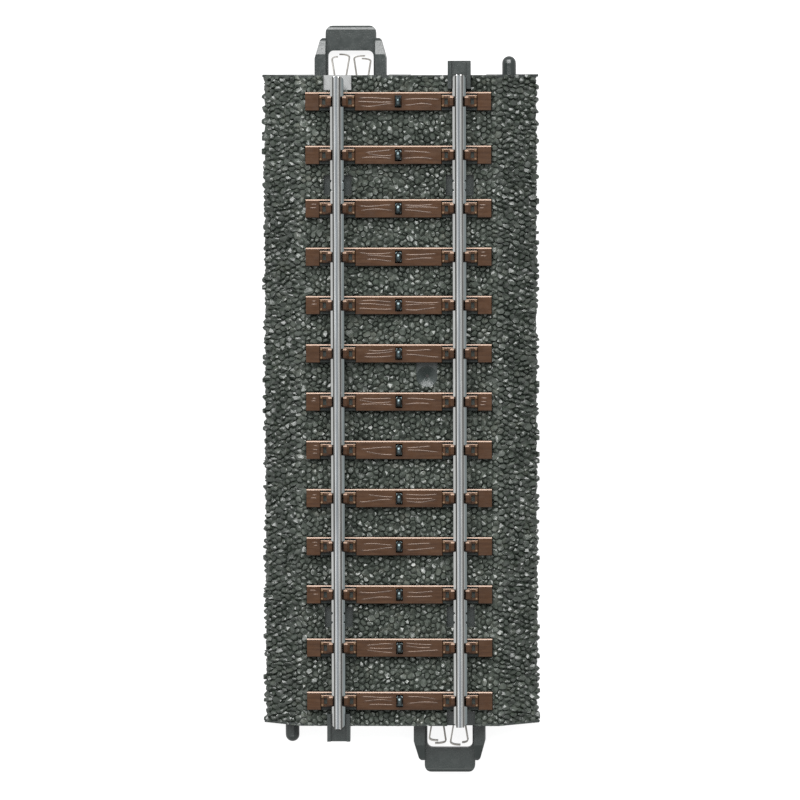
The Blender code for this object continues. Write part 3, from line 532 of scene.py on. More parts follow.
def step(value, edge, width):
    """0 below the edge, 1 above it, turning smoothly over the width."""
    share = min(1.0, max(0.0, (value - edge) / width + 0.5))
    return share * share * (3 - 2 * share)


def grain_lines(rng):
    """Grain as curves along X, each (start, end, middle y, bend, phase, cycles, slant)."""
    lines = []
    for side in (-1, 1):
        for lane in rng.choice(GRAIN_LANES):
            start = side * rng.uniform(0.6, 0.95)
            end = side * rng.uniform(4.6, 6.1)
            middle_y = lane + rng.uniform(-0.08, 0.08)
            bend = rng.uniform(0.07, 0.2)
            turns = rng.uniform(2.4, 5.0)
            slant = rng.uniform(-0.22, 0.22)
            lines.append((start, end, middle_y, bend, rng.uniform(0.0, math.tau), turns, slant))
    return lines


def end_dashes(rng):
    """Short strokes on each end block, or none, each (start, end, y)."""
    dashes = []
    for side in (-1, 1):
        if rng.random() < DASH_SHARE:
            for lane in range(rng.randint(2, 3)):
                start = END_BLOCK + rng.uniform(0.25, 0.6)
                y = 0.55 - 0.5 * lane + rng.uniform(-0.1, 0.1)
                dashes.append((side * start, side * (start + rng.uniform(0.6, 1.1)), y))
    return dashes


def sleeper_top(x, y, half_y, lines, dashes):
    """Height of a sleeper's top at a point, without the rail seats."""
    reach = abs(x)
    past_middle = step(reach, MIDDLE_BLOCK, BLOCK_TURN)
    in_chair = past_middle * (1 - step(reach, END_BLOCK, BLOCK_TURN))
    rim_start = half_y - EDGE_WIDTH - LIP_WIDTH
    ledge = (SLEEPER_TOP - LEDGE_Z) * in_chair * (1 - step(y, rim_start, LEDGE_TURN))
    z = SLEEPER_TOP - ledge
    z += LIP_HEIGHT * step(y, rim_start + LIP_WIDTH / 2, LIP_WIDTH)
    over = max(0.0, y - (half_y - EDGE_WIDTH)) / EDGE_WIDTH
    z -= EDGE_DROP * over
    round_width, round_drop = SOUTH_ROUND
    rounding = max(0.0, -half_y + round_width - y) / round_width
    z -= round_drop * rounding * rounding
    if in_chair < 0.5:
        for start, end, middle_y, bend, phase, turns, slant in lines:
            share = (x - start) / (end - start)
            if 0.0 < share < 1.0:
                curve = middle_y + bend * math.sin(share * turns + phase) + slant * (share - 0.5)
                fade = min(1.0, 10 * share, 10 * (1 - share))
                z += GRAIN_HEIGHT * fade * bump(y - curve, GRAIN_HALF_WIDTH)
        for start, end, dash_y in dashes:
            share = (x - start) / (end - start)
            if 0.0 < share < 1.0:
                fade = min(1.0, 8 * share, 8 * (1 - share))
                z += GRAIN_HEIGHT * fade * bump(y - dash_y, GRAIN_HALF_WIDTH)
    return z


def spread(stops, pitch):
    """Places from the first stop to the last, with every stop among them."""
    places = [stops[0]]
    for start, end in zip(stops, stops[1:]):
        count = max(1, math.ceil((end - start) / pitch))
        places += [start + (end - start) * i / count for i in range(1, count + 1)]
    return places


def bar_mesh(half_x, half_y, bottom, rng):
    """A sleeper without its rail seats, as a height field with walls."""
    lines = grain_lines(rng)
    dashes = end_dashes(rng)
    half_turn = BLOCK_TURN / 2
    turns = [edge + side * half_turn for edge in (MIDDLE_BLOCK, END_BLOCK) for side in (-1, 1)]
    stops = [-half_x, *[-turn for turn in reversed(turns)], *turns, half_x]
    xs = spread(stops, BAR_PITCH[0])
    rim_start = half_y - EDGE_WIDTH - LIP_WIDTH
    south = [-half_y, -half_y + SOUTH_ROUND[0]]
    north = [rim_start - LEDGE_TURN / 2, rim_start, half_y - EDGE_WIDTH]
    ys = spread(south + north, BAR_PITCH[1])
    ys.append(half_y)
    shape = bmesh.new()
    grid = []
    for x in xs:
        column = []
        for y in ys:
            z = sleeper_top(x, y, half_y, lines, dashes)
            column.append(shape.verts.new((x, y, z)))
        grid.append(column)
    for near, far in zip(grid, grid[1:]):
        for i in range(len(ys) - 1):
            shape.faces.new((near[i], far[i], far[i + 1], near[i + 1]))
    close_below(shape, bottom)
    return mesh_from(shape)


def add_chamfered_box(shape, low, high, edge):
    """A box whose top is smaller than its foot by an edge all round."""
    low = Vector(low)
    high = Vector(high)
    rings = []
    for z, inset in ((low.z, 0.0), (high.z - edge, 0.0), (high.z, edge)):
        corners = (
            (low.x + inset, low.y + inset),
            (high.x - inset, low.y + inset),
            (high.x - inset, high.y - inset),
            (low.x + inset, high.y - inset),
        )
        rings.append([shape.verts.new((x, y, z)) for x, y in corners])
    add_loft(shape, rings)


def plates_mesh():
    """The raised seats under the two rails."""
    shape = bmesh.new()
    length, width, top = PLATE
    for x in (-RAIL_X, RAIL_X):
        low = (x - length / 2, -width / 2, LEDGE_Z - PLATE_ROOT)
        high = (x + length / 2, width / 2, top)
        add_chamfered_box(shape, low, high, PLATE_EDGE)
    return mesh_from(shape)


def fastenings_mesh():
    """Clamps whose lips lie over the rail's foot."""
    shape = bmesh.new()
    foot = FOOT_HALF + CLAMP_GAP
    root = PLATE[2] - CLAMP_ROOT
    half = CLAMP_WIDTH / 2
    sections = (
        (-half, CLAMP_TOP - 0.75 * CLAMP_EDGE, LIP_BOTTOM - 0.02),
        (CLAMP_EDGE - half, CLAMP_TOP, LIP_BOTTOM),
        (half - CLAMP_EDGE, CLAMP_TOP, LIP_BOTTOM),
        (half, CLAMP_TOP - 0.75 * CLAMP_EDGE, LIP_BOTTOM - 0.02),
    )
    for x in (-RAIL_X, RAIL_X):
        for side in (-1, 1):
            rings = []
            for y, top, lip in sections:
                outline = (
                    (foot, root),
                    (CLAMP_OUTER, root),
                    (CLAMP_OUTER, top - CLAMP_BEVEL[1]),
                    (CLAMP_OUTER - CLAMP_BEVEL[0], top),
                    (CLAMP_INNER, top),
                    (CLAMP_INNER, lip),
                    (foot, lip),
                )
                rings.append([shape.verts.new((x + side * px, y, pz)) for px, pz in outline])
            add_loft(shape, rings)
    return mesh_from(shape)


def pits_mesh():
    """Pits behind the clamps, which the print doesn't reach."""
    shape = bmesh.new()
    inner, outer, half_y, floor = PIT
    for x in (-RAIL_X, RAIL_X):
        for side in (-1, 1):
            xs = sorted((x + side * inner, x + side * outer))
            add_box(shape, (xs[0], -half_y, floor), (xs[1], half_y, CLAMP_TOP + MARGIN))
    return mesh_from(shape)


def bolts_mesh():
    """Domed bolt heads at the outer corners of each seat: spheres with a flattened lower part."""
    shape = bmesh.new()
    stretch = Matrix.Diagonal((1.0, 1.0, BOLT_STRETCH, 1.0))
    for x in (-RAIL_X, RAIL_X):
        for side in (-1, 1):
            for y in (-BOLT_Y, BOLT_Y):
                centre = Vector((x + side * BOLT_X, y, BOLT_TOP - BOLT_RADIUS * BOLT_STRETCH))
                ball = bmesh.ops.create_uvsphere(
                    shape,
                    u_segments=12,
                    v_segments=8,
                    radius=BOLT_RADIUS,
                    matrix=Matrix.Translation(centre) @ stretch,
                )
                for vert in ball["verts"]:
                    if vert.co.z < centre.z - BOLT_RADIUS / 4:
                        lowest = vert.co.z < centre.z - BOLT_RADIUS * 1.05
                        vert.co.z = PLATE[2] - BOLT_ROOT[lowest]
    return mesh_from(shape)


def slot_mesh(bottom):
    """The stud's slot through a sleeper."""
    shape = bmesh.new()
    half_x = STUD_SLOT[0] / 2
    half_y = STUD_SLOT[1] / 2
    add_box(shape, (-half_x, -half_y, bottom - MARGIN), (half_x, half_y, SLEEPER_TOP + MARGIN))
    return mesh_from(shape)


def build_sleepers(material):
    for number, name in enumerate(SLEEPERS):
        rng = random.Random(SLEEPER_SEED + number)
        low, high = millimetres(name)
        middle = (low + high) / 2
        half = (high - low) / 2
        mesh = with_boolean(
            bar_mesh(half.x, half.y, low.z, rng),
            ("UNION", plates_mesh()),
            ("UNION", bolts_mesh()),
            ("DIFFERENCE", pits_mesh()),
            ("UNION", fastenings_mesh()),
            ("DIFFERENCE", slot_mesh(low.z)),
        )
        mesh.transform(Matrix.Translation((0.0, middle.y, 0.0)))
        smooth(mesh, 32)
        sleeper = new_object("wood_" + name, mesh)
        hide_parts(name)
        finish_piece(sleeper, material)


# Studs -----------------------------------------------------------------------------------------


def stud_tops_mesh():
    """Contact studs, upright below and domed above, one through each sleeper."""
    shape = bmesh.new()
    half_x, half_y = (side / 2 for side in STUD_SIZE)
    dome = STUD_TOP - STUD_DOME_Z
    levels = [(STUD_CUT_Z - STUD_OVERLAP, 1.0), (STUD_DOME_Z, 1.0)]
    for angle in STUD_RINGS:
        turn = math.radians(angle)
        levels.append((STUD_DOME_Z + dome * math.sin(turn), math.cos(turn)))
    for name in SLEEPERS:
        low, high = millimetres(name)
        middle_y = (low.y + high.y) / 2
        rings = []
        for z, share in levels:
            ring = []
            for i in range(STUD_SIDES):
                turn = math.tau * (i + 0.5) / STUD_SIDES
                x = half_x * math.copysign(abs(math.cos(turn)) ** STUD_SQUARE, math.cos(turn))
                y = half_y * math.copysign(abs(math.sin(turn)) ** STUD_SQUARE, math.sin(turn))
                ring.append(shape.verts.new((x * share, middle_y + y * share, z)))
            rings.append(ring)
        shape.faces.new(list(reversed(rings[0])))
        add_sides(shape, rings)
        apex = shape.verts.new((0.0, middle_y, STUD_TOP))
        for i in range(STUD_SIDES):
            shape.faces.new((rings[-1][i], rings[-1][(i + 1) % STUD_SIDES], apex))
    bmesh.ops.recalc_face_normals(shape, faces=shape.faces)
    return mesh_from(shape)


def build_studs(material):
    """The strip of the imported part, with its studs' tops rounded."""
    shape = bmesh.new()
    shape.from_mesh(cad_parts["stud_strip"].data)
    bmesh.ops.scale(shape, vec=(1 / MM, 1 / MM, 1 / MM), verts=shape.verts)
    bmesh.ops.remove_doubles(shape, verts=shape.verts, dist=1e-4)
    cutter = bmesh.new()
    add_box(cutter, (-MARGIN, -END_Y, STUD_CUT_Z), (MARGIN, END_Y, STUD_TOP + MARGIN))
    mesh = with_boolean(
        mesh_from(shape),
        ("DIFFERENCE", mesh_from(cutter)),
        ("UNION", stud_tops_mesh()),
    )
    smooth(mesh, 40)
    studs = new_object("domed_stud_strip", mesh)
    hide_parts("stud_strip")
    finish_piece(studs, material)


# Rails -----------------------------------------------------------------------------------------


def rail_half_outline():
    """The right half of the rail's section, from under its foot to the top of its head."""
    height = RAIL_TOP - RAIL_BOTTOM
    flat_half = HEAD_HALF - HEAD_CORNER
    corner_z = height - HEAD_CROWN - HEAD_CORNER
    foot_edge = arc((FOOT_HALF - SMALL_ROUND, FOOT_EDGE_Z), SMALL_ROUND, 0, 70, 2)
    fillet = arc(FILLET_CENTRE, FILLET_RADIUS, 245, 180, 4)
    head_low = arc((HEAD_HALF - SMALL_ROUND, HEAD_UNDER_Z), SMALL_ROUND, -70, 0, 2)
    head_high = arc((flat_half, corner_z), HEAD_CORNER, 0, 78, 4)
    shares = (0.75, 0.5, 0.25)
    top = [(share * flat_half, height - HEAD_CROWN * share * share) for share in shares]
    return [
        (FOOT_HALF, 0.0),
        *foot_edge,
        *fillet,
        (WEB_HALF, WEB_Z[0]),
        (WEB_HALF, WEB_Z[1]),
        *head_low,
        *head_high,
        *top,
    ]


def foot_reach(y, ends):
    """How far the foot reaches sideways at a place along the rail."""
    reach = FOOT_HALF
    for end in ends:
        reach = min(reach, FOOT_HALF - FOOT_CUT + abs(end - y))
    for side in (-1, 1):
        for along in (-0.5, 0.5):
            away = abs(y - side * WELD_Y - along * STAKE_PITCH)
            if away < STAKE_RADIUS:
                reach = min(reach, FOOT_HALF - math.sqrt(STAKE_RADIUS**2 - away**2))
    return reach


def rail_stations(low_y, high_y):
    """Places along the rail where its section changes."""
    stops = {low_y, high_y}
    for inset in END_INSETS:
        stops |= {low_y + inset, high_y - inset}
    for side in (-1, 1):
        for along in (-0.5, 0.5):
            notch = side * WELD_Y + along * STAKE_PITCH
            stops |= {notch + STAKE_RADIUS * part for part in STAKE_STATIONS}
    return sorted(stops)


def rail_mesh(low, high):
    """A rail lofted along Y, with a notched foot and slightly rounded ends."""
    centre_x = (low.x + high.x) / 2
    height = RAIL_TOP - RAIL_BOTTOM
    half = rail_half_outline()
    outline = half + [(0.0, height)] + [(-x, z) for x, z in reversed(half)]
    shape = bmesh.new()
    rings = []
    for y in rail_stations(low.y, high.y):
        reach = foot_reach(y, (low.y, high.y))
        at_end = y in (low.y, high.y)
        ring = []
        for x, z in outline:
            if z < FOOT_TOP_Z and abs(x) > reach:
                x = math.copysign(reach, x)
            if at_end:
                lift = END_LIFT if z == 0.0 else 0.0
                z = min(z, height - END_DROP) + lift
                x *= END_NARROWING
            ring.append(shape.verts.new((centre_x + x, y, RAIL_BOTTOM + z)))
        rings.append(ring)
    add_loft(shape, rings)
    return mesh_from(shape)


def build_rails(material):
    for name in ("rail_left", "rail_right"):
        low, high = millimetres(name)
        mesh = rail_mesh(low, high)
        smooth(mesh, 25)
        rail = new_object("drawn_" + name, mesh)
        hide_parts(name)
        finish_piece(rail, material)


# Materials -------------------------------------------------------------------------------------


def add_node(tree, kind, settings=None, **inputs):
    """A shader node with plain settings, and inputs that are values or other nodes' outputs.

    An input is given by its name, with _ for each space, or as _ and its number.
    """
    made = tree.nodes.new(kind)
    for key, value in (settings or {}).items():
        setattr(made, key, value)
    for key, value in inputs.items():
        which = int(key[1:]) if key[1:].isdigit() else key.replace("_", " ")
        socket = made.inputs[which]
        if isinstance(value, bpy.types.NodeSocket):
            tree.links.new(value, socket)
        else:
            socket.default_value = value
    return made


def new_material(name, **inputs):
    """A material with its tree, its main shader and the object's own coordinates in metres."""
    made = bpy.data.materials.new(name)
    made.use_nodes = True
    tree = made.node_tree
    shader = tree.nodes["Principled BSDF"]
    for key, value in inputs.items():
        shader.inputs[key.replace("_", " ")].default_value = value
    place = tree.nodes.new("ShaderNodeTexCoord").outputs["Object"]
    return made, tree, shader, place


def noise_value(tree, place, scale, detail=3.0, roughness=0.55):
    made = add_node(
        tree, "ShaderNodeTexNoise", Vector=place, Scale=scale, Detail=detail, Roughness=roughness
    )
    return made.outputs["Fac"]


def ramp(tree, value, *stops):
    """A colour ramp; each stop is a place and a linear colour or a grey."""
    made = add_node(tree, "ShaderNodeValToRGB", Fac=value)
    points = made.color_ramp.elements
    while len(points) < len(stops):
        points.new(0.5)
    for point, (where, colour) in zip(points, stops):
        point.position = where
        shade = colour if isinstance(colour, tuple) else (colour, colour, colour)
        point.color = (*shade, 1.0)
    return made.outputs["Color"]


def remap(tree, value, from_low, from_high, to_low, to_high):
    made = add_node(
        tree,
        "ShaderNodeMapRange",
        Value=value,
        From_Min=from_low,
        From_Max=from_high,
        To_Min=to_low,
        To_Max=to_high,
    )
    return made.outputs["Result"]


def maths(tree, operation, first, second=0.0):
    made = add_node(tree, "ShaderNodeMath", {"operation": operation}, _0=first, _1=second)
    return made.outputs["Value"]


def mix(tree, blend, share, first, second):
    made = add_node(tree, "ShaderNodeMix", {"data_type": "RGBA", "blend_type": blend})
    for index, value in ((MIX_FACTOR, share), (MIX_A, first), (MIX_B, second)):
        if isinstance(value, bpy.types.NodeSocket):
            tree.links.new(value, made.inputs[index])
        else:
            made.inputs[index].default_value = value if index == MIX_FACTOR else (*value, 1.0)
    return made.outputs[MIX_RESULT]


def split(tree, vector):
    """The X, Y and Z of a vector."""
    return add_node(tree, "ShaderNodeSeparateXYZ", Vector=vector).outputs


def stretched(tree, place, scale):
    """The coordinates scaled differently along each axis."""
    made = add_node(tree, "ShaderNodeMapping", Vector=place, Scale=scale)
    return made.outputs["Vector"]


def rail_offset(tree, x):
    """How far a place lies to the right of the nearer rail's middle."""
    rail_side = maths(tree, "MULTIPLY", maths(tree, "SIGN", x), RAIL_X * MM)
    return maths(tree, "SUBTRACT", x, rail_side)


def add_bump(tree, shader, *layers):
    """Stacks bumps, each a height value and a distance in millimetres."""
    normal = None
    for height, distance in layers:
        depth = distance * MM
        made = add_node(tree, "ShaderNodeBump", Height=height, Distance=depth, Strength=1.0)
        if normal is not None:
            tree.links.new(normal, made.inputs["Normal"])
        normal = made.outputs["Normal"]
    tree.links.new(normal, shader.inputs["Normal"])


def ballast_plastic():
    """Moulded stones: dark grey-green with drifting tone, glossy patches, a fine pitting, and
    painted light on the crest.
    """
    made, tree, shader, place = new_material("moulded_ballast", Specular_IOR_Level=0.55)
    tone = noise_value(tree, place, 700.0, 2.0)
    drift = noise_value(tree, place, 60.0, 2.0)
    colour = ramp(
        tree,
        tone,
        (0.3, (0.012, 0.0148, 0.0125)),
        (0.55, (0.019, 0.023, 0.0195)),
        (0.75, (0.031, 0.034, 0.029)),
    )
    shade = ramp(tree, drift, (0.35, 0.8), (0.65, 1.0))
    # Painted light: the stones on the crest are coloured lighter than those on the slopes
    height = split(tree, place)["Z"]
    low_z = (SHELL_CREST_Z - 0.4) * MM
    crest = remap(tree, height, low_z, SHELL_CREST_Z * MM, 0.0, 1.0)
    lit = mix(tree, "MIX", crest, (1.26, 1.32, 1.23), (2.18, 2.14, 2.1))
    colour = mix(tree, "MULTIPLY", 1.0, colour, lit)
    tree.links.new(mix(tree, "MULTIPLY", 1.0, colour, shade), shader.inputs["Base Color"])
    gloss = noise_value(tree, place, 1400.0, 2.0)
    tree.links.new(remap(tree, gloss, 0.35, 0.72, 0.48, 0.14), shader.inputs["Roughness"])
    fine = noise_value(tree, place, 5200.0, 4.0, 0.6)
    add_bump(tree, shader, (fine, 0.025), (noise_value(tree, place, 2000.0, 2.0), 0.03))
    return made


def coupling_plastic():
    """Smooth moulded plastic of the same dark grey-green, with flow marks and a fine grain.

    Painted light makes it lighter away from the ends, where only the crest's bare spots show it.
    """
    made, tree, shader, place = new_material("moulded_coupling", Specular_IOR_Level=0.55)
    flow = noise_value(tree, stretched(tree, place, (1.0, 0.35, 1.0)), 420.0, 3.0)
    colour = ramp(tree, flow, (0.3, (0.0092, 0.0124, 0.0117)), (0.7, (0.0138, 0.0178, 0.0168)))
    along = maths(tree, "ABSOLUTE", split(tree, place)["Y"])
    crest_y = (END_Y - TONGUE[1]) * MM
    # Painted light: the moulding away from the ends is coloured half again lighter
    lift = remap(tree, along, crest_y - MM, crest_y, 1.5, 1.0)
    tree.links.new(mix(tree, "MULTIPLY", 1.0, colour, lift), shader.inputs["Base Color"])
    gloss = noise_value(tree, place, 900.0, 3.0)
    tree.links.new(remap(tree, gloss, 0.3, 0.7, 0.2, 0.3), shader.inputs["Roughness"])
    add_bump(tree, shader, (noise_value(tree, place, 3600.0, 5.0, 0.65), 0.02))
    return made


def sleeper_plastic():
    """Brown print on every raised top, the plastic's own dark tone below it, painted light and
    shade.
    """
    made, tree, shader, place = new_material("printed_wood", Specular_IOR_Level=0.22)
    grain = noise_value(tree, stretched(tree, place, (0.12, 1.0, 0.3)), 2600.0, 4.0)
    patch = noise_value(tree, place, 240.0, 3.0)
    brown = ramp(
        tree,
        grain,
        (0.3, (0.0255, 0.0108, 0.0045)),
        (0.5, (0.0345, 0.0154, 0.0066)),
        (0.72, (0.044, 0.021, 0.0098)),
    )
    brown = mix(tree, "MULTIPLY", 1.0, brown, ramp(tree, patch, (0.35, 0.82), (0.65, 1.0)))
    where = split(tree, place)
    wobble = maths(tree, "MULTIPLY", noise_value(tree, place, 1500.0), 0.08 * MM)
    level = maths(tree, "ADD", where["Z"], wobble)
    normal = split(tree, tree.nodes.new("ShaderNodeNewGeometry").outputs["Normal"])
    facing = normal["Y"]

    # Painted highlight on north-facing slopes, dimmer on the grain, and painted shade on the south
    # sides
    sloping = maths(tree, "LESS_THAN", facing, 0.75)
    painted_highlight = maths(tree, "MULTIPLY", remap(tree, facing, 0.14, 0.34, 0.0, 1.0), sloping)
    across = maths(tree, "ABSOLUTE", normal["X"])
    grainy = remap(tree, across, 0.01, 0.03, 0.0, 1.0)
    tint = mix(tree, "MIX", grainy, (0.26, 0.18, 0.135), (0.05, 0.031, 0.02))
    brown = mix(tree, "MIX", painted_highlight, brown, tint)
    painted_south_shade = remap(tree, facing, -0.2, -0.5, 0.0, 0.7)
    brown = mix(tree, "MIX", painted_south_shade, brown, (0.012, 0.007, 0.005))

    # Painted highlight: lighter golden-brown tops on the bolt heads
    away = maths(tree, "ABSOLUTE", rail_offset(tree, where["X"]))
    outer = remap(tree, away, (BOLT_X - 0.24) * MM, (BOLT_X - 0.18) * MM, 0.0, 0.75)
    bolt_highlight = maths(tree, "MULTIPLY", outer, remap(tree, level, 8.1 * MM, 8.2 * MM, 0.0, 1.0))
    brown = mix(tree, "MIX", bolt_highlight, brown, (0.1, 0.06, 0.031))

    # Bare plastic below the print, with painted light on the upward-facing floor of the pits
    printed = remap(tree, level, 7.42 * MM, 7.5 * MM, 0.0, 1.0)
    on_floor = remap(tree, level, 7.34 * MM, 7.36 * MM, 0.0, 1.0)
    pit_floor_light = maths(tree, "MULTIPLY", on_floor, normal["Z"])
    bare = mix(tree, "MIX", pit_floor_light, (0.012, 0.0145, 0.013), (0.035, 0.041, 0.037))
    colour = mix(tree, "MIX", printed, bare, brown)
    tree.links.new(colour, shader.inputs["Base Color"])
    gloss = noise_value(tree, place, 1100.0)
    tree.links.new(remap(tree, gloss, 0.3, 0.7, 0.22, 0.32), shader.inputs["Roughness"])
    add_bump(tree, shader, (noise_value(tree, place, 4200.0, 4.0), 0.004), (grain, 0.003))
    return made


def rail_steel():
    """Drawn steel: streaks along the rail, painted reflections and shade in bands across its
    section, painted shade on its ends.
    """
    made, tree, shader, place = new_material("drawn_steel", Metallic=1.0)
    offset = rail_offset(tree, split(tree, place)["X"])
    across = remap(tree, offset, -FOOT_HALF * MM, FOOT_HALF * MM, 0.0, 1.0)
    # Painted light: reflections and shade across a lit rail, a brighter left foot, a dark line
    # beside the head, a highlight and darker bands
    left_foot = (0.5, 0.5, 0.49)
    edge = (0.11, 0.11, 0.105)
    bright = (0.98, 0.98, 0.98)
    middle = (0.36, 0.38, 0.4)
    light = (0.62, 0.62, 0.61)
    dark_band = (0.24, 0.23, 0.22)
    right_foot = (0.33, 0.37, 0.375)
    painted_reflection_bands = ramp(
        tree,
        across,
        (0.0, left_foot),
        (0.2, left_foot),
        (0.23, edge),
        (0.3, edge),
        (0.35, bright),
        (0.42, (0.6, 0.63, 0.66)),
        (0.48, middle),
        (0.56, middle),
        (0.61, light),
        (0.68, light),
        (0.72, dark_band),
        (0.78, dark_band),
        (0.82, light),
        (0.86, right_foot),
        (1.0, right_foot),
    )
    streaks = noise_value(tree, stretched(tree, place, (1.0, 0.012, 0.4)), 9000.0, 3.0, 0.6)
    tint = ramp(tree, streaks, (0.3, 0.78), (0.7, 1.1))
    painted_reflection_bands = mix(tree, "MULTIPLY", 1.0, painted_reflection_bands, tint)
    # Painted shade on the faces at the rail's ends, which would otherwise catch the key light
    normal = tree.nodes.new("ShaderNodeNewGeometry").outputs["Normal"]
    facing = maths(tree, "ABSOLUTE", split(tree, normal)["Y"])
    end_shade = remap(tree, facing, 0.4, 0.8, 0.0, 1.0)
    tree.links.new(mix(tree, "MIX", end_shade, painted_reflection_bands, (0.16, 0.16, 0.155)), shader.inputs["Base Color"])
    tree.links.new(remap(tree, streaks, 0.3, 0.7, 0.12, 0.22), shader.inputs["Roughness"])
    add_bump(tree, shader, (streaks, 0.006))
    return made


def stud_metal():
    """Blackened contact metal with a bluish sheen and rubbed spots."""
    made, tree, shader, place = new_material("blackened_metal", Metallic=0.9)
    patch = noise_value(tree, place, 1500.0, 3.0)
    colour = ramp(tree, patch, (0.35, (0.03, 0.041, 0.043)), (0.7, (0.083, 0.106, 0.112)))
    tree.links.new(colour, shader.inputs["Base Color"])
    tree.links.new(remap(tree, patch, 0.3, 0.7, 0.16, 0.28), shader.inputs["Roughness"])
    add_bump(tree, shader, (noise_value(tree, place, 4000.0), 0.006))
    return made


def spring_metal():
    """Bright spring strip, rolled, with faint warm patches."""
    made, tree, shader, place = new_material("spring_strip", Metallic=1.0)
    patch = noise_value(tree, stretched(tree, place, (1.0, 0.3, 1.0)), 900.0, 3.0)
    colour = ramp(tree, patch, (0.35, (0.15, 0.14, 0.125)), (0.65, (0.24, 0.23, 0.215)))
    tree.links.new(colour, shader.inputs["Base Color"])
    tree.links.new(remap(tree, patch, 0.3, 0.7, 0.25, 0.42), shader.inputs["Roughness"])
    add_bump(tree, shader, (noise_value(tree, place, 5000.0), 0.006))
    return made


def wear(item, material):
    """Gives an item one material in place of those it has."""
    item.data.materials.clear()
    item.data.materials.append(material)


def finish_piece(piece, material):
    """A piece's material and slot; every new piece rides on the root body."""
    wear(piece, material)
    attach(piece, "root")


def round_edges(item):
    weld = item.modifiers.new("weld", "WELD")
    weld.merge_threshold = 1e-6
    bevel = item.modifiers.new("round", "BEVEL")
    bevel.width = HOOP_ROUND * MM
    bevel.segments = HOOP_ROUND_STEPS
    bevel.limit_method = "ANGLE"
    bevel.angle_limit = math.radians(HOOP_ROUND_ANGLE)
    bevel.harden_normals = False


def dress_nodes(plastic, metal):
    """Gives each CAD node that shows its material, and rounds the hoops' edges."""
    for name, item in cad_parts.items():
        if name in SLEEPERS or name in ("rail_left", "rail_right", "stud_strip"):
            continue
        is_hoop = name.startswith("latch_hoop")
        wear(item, plastic if is_hoop or name == "roadbed" else metal)
        if is_hoop:
            round_edges(item)


# Studio ----------------------------------------------------------------------------------------


def aimed(item, place, target, roll=0.0):
    """Puts an item at a place, in millimetres, looking at a target with +Y upwards in its view."""
    place = Vector(place)
    back = (place - Vector(target)).normalized()
    right = Vector((0.0, 1.0, 0.0)).cross(back).normalized()
    up = back.cross(right)
    turned = Matrix((right, up, back)).transposed().to_4x4() @ Matrix.Rotation(roll, 4, "Z")
    item.matrix_world = Matrix.Translation(place * MM) @ turned


def add_camera():
    data = bpy.data.cameras.new("camera")
    data.sensor_width = SENSOR
    data.lens = SENSOR * VIEW_DISTANCE / VIEW_WIDTH
    data.clip_start = 0.01
    data.clip_end = 20.0
    camera = bpy.data.objects.new("camera", data)
    bpy.context.scene.collection.objects.link(camera)
    target = Vector(VIEW_TARGET)
    lean = Vector((math.tan(VIEW_EAST), math.tan(VIEW_NORTH), 1.0)).normalized()
    aimed(camera, target + lean * VIEW_DISTANCE, target, -VIEW_ROLL)
    bpy.context.scene.camera = camera


def add_softbox(name, lean_north, lean_east, size, power):
    """A rectangular light off the vertical by two angles in degrees."""
    data = bpy.data.lights.new(name, "AREA")
    data.shape = "RECTANGLE"
    data.size, data.size_y = (side * MM for side in size)
    data.energy = power
    light = bpy.data.objects.new(name, data)
    bpy.context.scene.collection.objects.link(light)
    lean = Vector((math.tan(math.radians(lean_east)), math.tan(math.radians(lean_north)), 1.0))
    aimed(light, lean.normalized() * LIGHT_DISTANCE, (0.0, 0.0, 0.0))


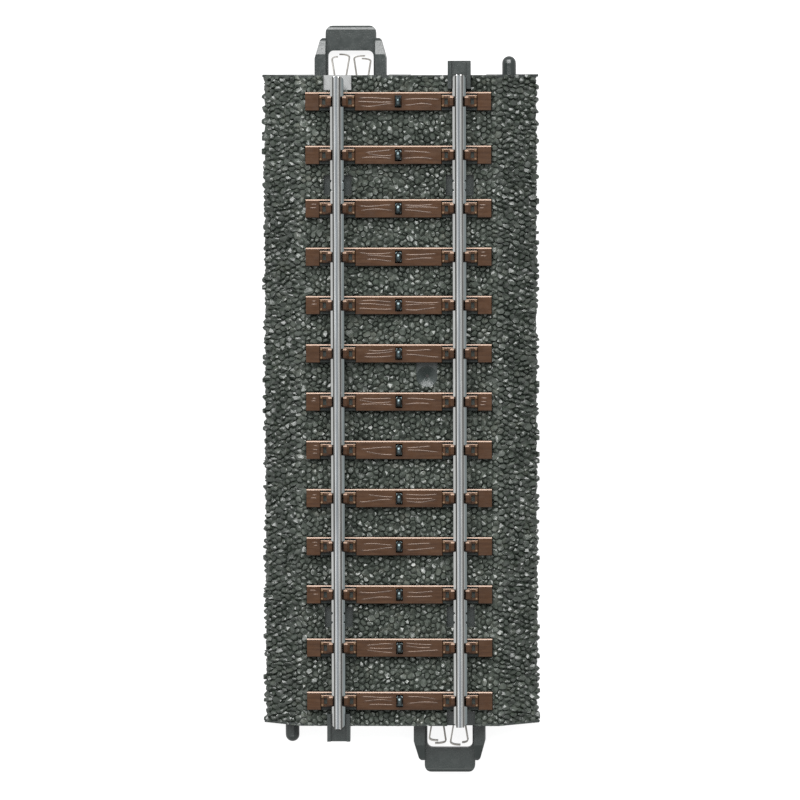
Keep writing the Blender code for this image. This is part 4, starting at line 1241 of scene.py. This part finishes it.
def add_floor():
    """A pale floor, seen from above only, with a painted shadow: dark and hardly glowing under the
    object.
    """
    shape = bmesh.new()
    corners = ((-1, -1), (1, -1), (1, 1), (-1, 1))
    shape.faces.new([shape.verts.new((x * FLOOR_HALF, y * FLOOR_HALF, 0.0)) for x, y in corners])
    floor = new_object("floor", mesh_from(shape))
    made = bpy.data.materials.new("pale_floor")
    made.use_nodes = True
    tree = made.node_tree
    shader = tree.nodes["Principled BSDF"]
    shader.inputs["Base Color"].default_value = (FLOOR_GREY, FLOOR_GREY, FLOOR_GREY, 1.0)
    shader.inputs["Roughness"].default_value = 0.9
    shader.inputs["Emission Color"].default_value = (1.0, 1.0, 1.0, 1.0)
    place = tree.nodes.new("ShaderNodeTexCoord").outputs["Object"]
    where = split(tree, place)
    across = maths(tree, "ABSOLUTE", where["X"])
    along = maths(tree, "ABSOLUTE", where["Y"])
    beside = remap(tree, across, (SHELL_BASE_X - 1.0) * MM, SHELL_BASE_X * MM, 0.0, 1.0)
    beyond = remap(tree, along, (END_Y - 2.0) * MM, (END_Y - 1.0) * MM, 0.0, 1.0)
    # Painted shadow: the floor hardly glows under the object
    glow = remap(tree, maths(tree, "MAXIMUM", beside, beyond), 0.0, 1.0, *FLOOR_GLOW)
    seen = tree.nodes.new("ShaderNodeLightPath").outputs["Is Camera Ray"]
    glow = maths(tree, "MULTIPLY", glow, remap(tree, seen, 0.0, 1.0, FLOOR_BOUNCE, 1.0))
    tree.links.new(glow, shader.inputs["Emission Strength"])
    back = tree.nodes.new("ShaderNodeNewGeometry").outputs["Backfacing"]
    clear = tree.nodes.new("ShaderNodeBsdfTransparent").outputs["BSDF"]
    front = shader.outputs["BSDF"]
    one_sided = add_node(tree, "ShaderNodeMixShader", _0=back, _1=front, _2=clear)
    surface = tree.nodes["Material Output"].inputs["Surface"]
    tree.links.new(one_sided.outputs["Shader"], surface)
    floor.data.materials.append(made)


def light_studio():
    scene = bpy.context.scene
    scene.view_settings.view_transform = "Standard"
    scene.view_settings.look = "None"
    world = bpy.data.worlds.new("studio")
    world.use_nodes = True
    backdrop = world.node_tree.nodes["Background"]
    backdrop.inputs["Color"].default_value = WORLD_COLOUR
    backdrop.inputs["Strength"].default_value = WORLD_STRENGTH
    scene.world = world
    for softbox in SOFTBOXES:
        add_softbox(*softbox)
    add_floor()


# Assembly --------------------------------------------------------------------------------------

dress_nodes(coupling_plastic(), spring_metal())
build_ballast(ballast_plastic())
build_sleepers(sleeper_plastic())
build_studs(stud_metal())
build_rails(rail_steel())
light_studio()
add_camera()
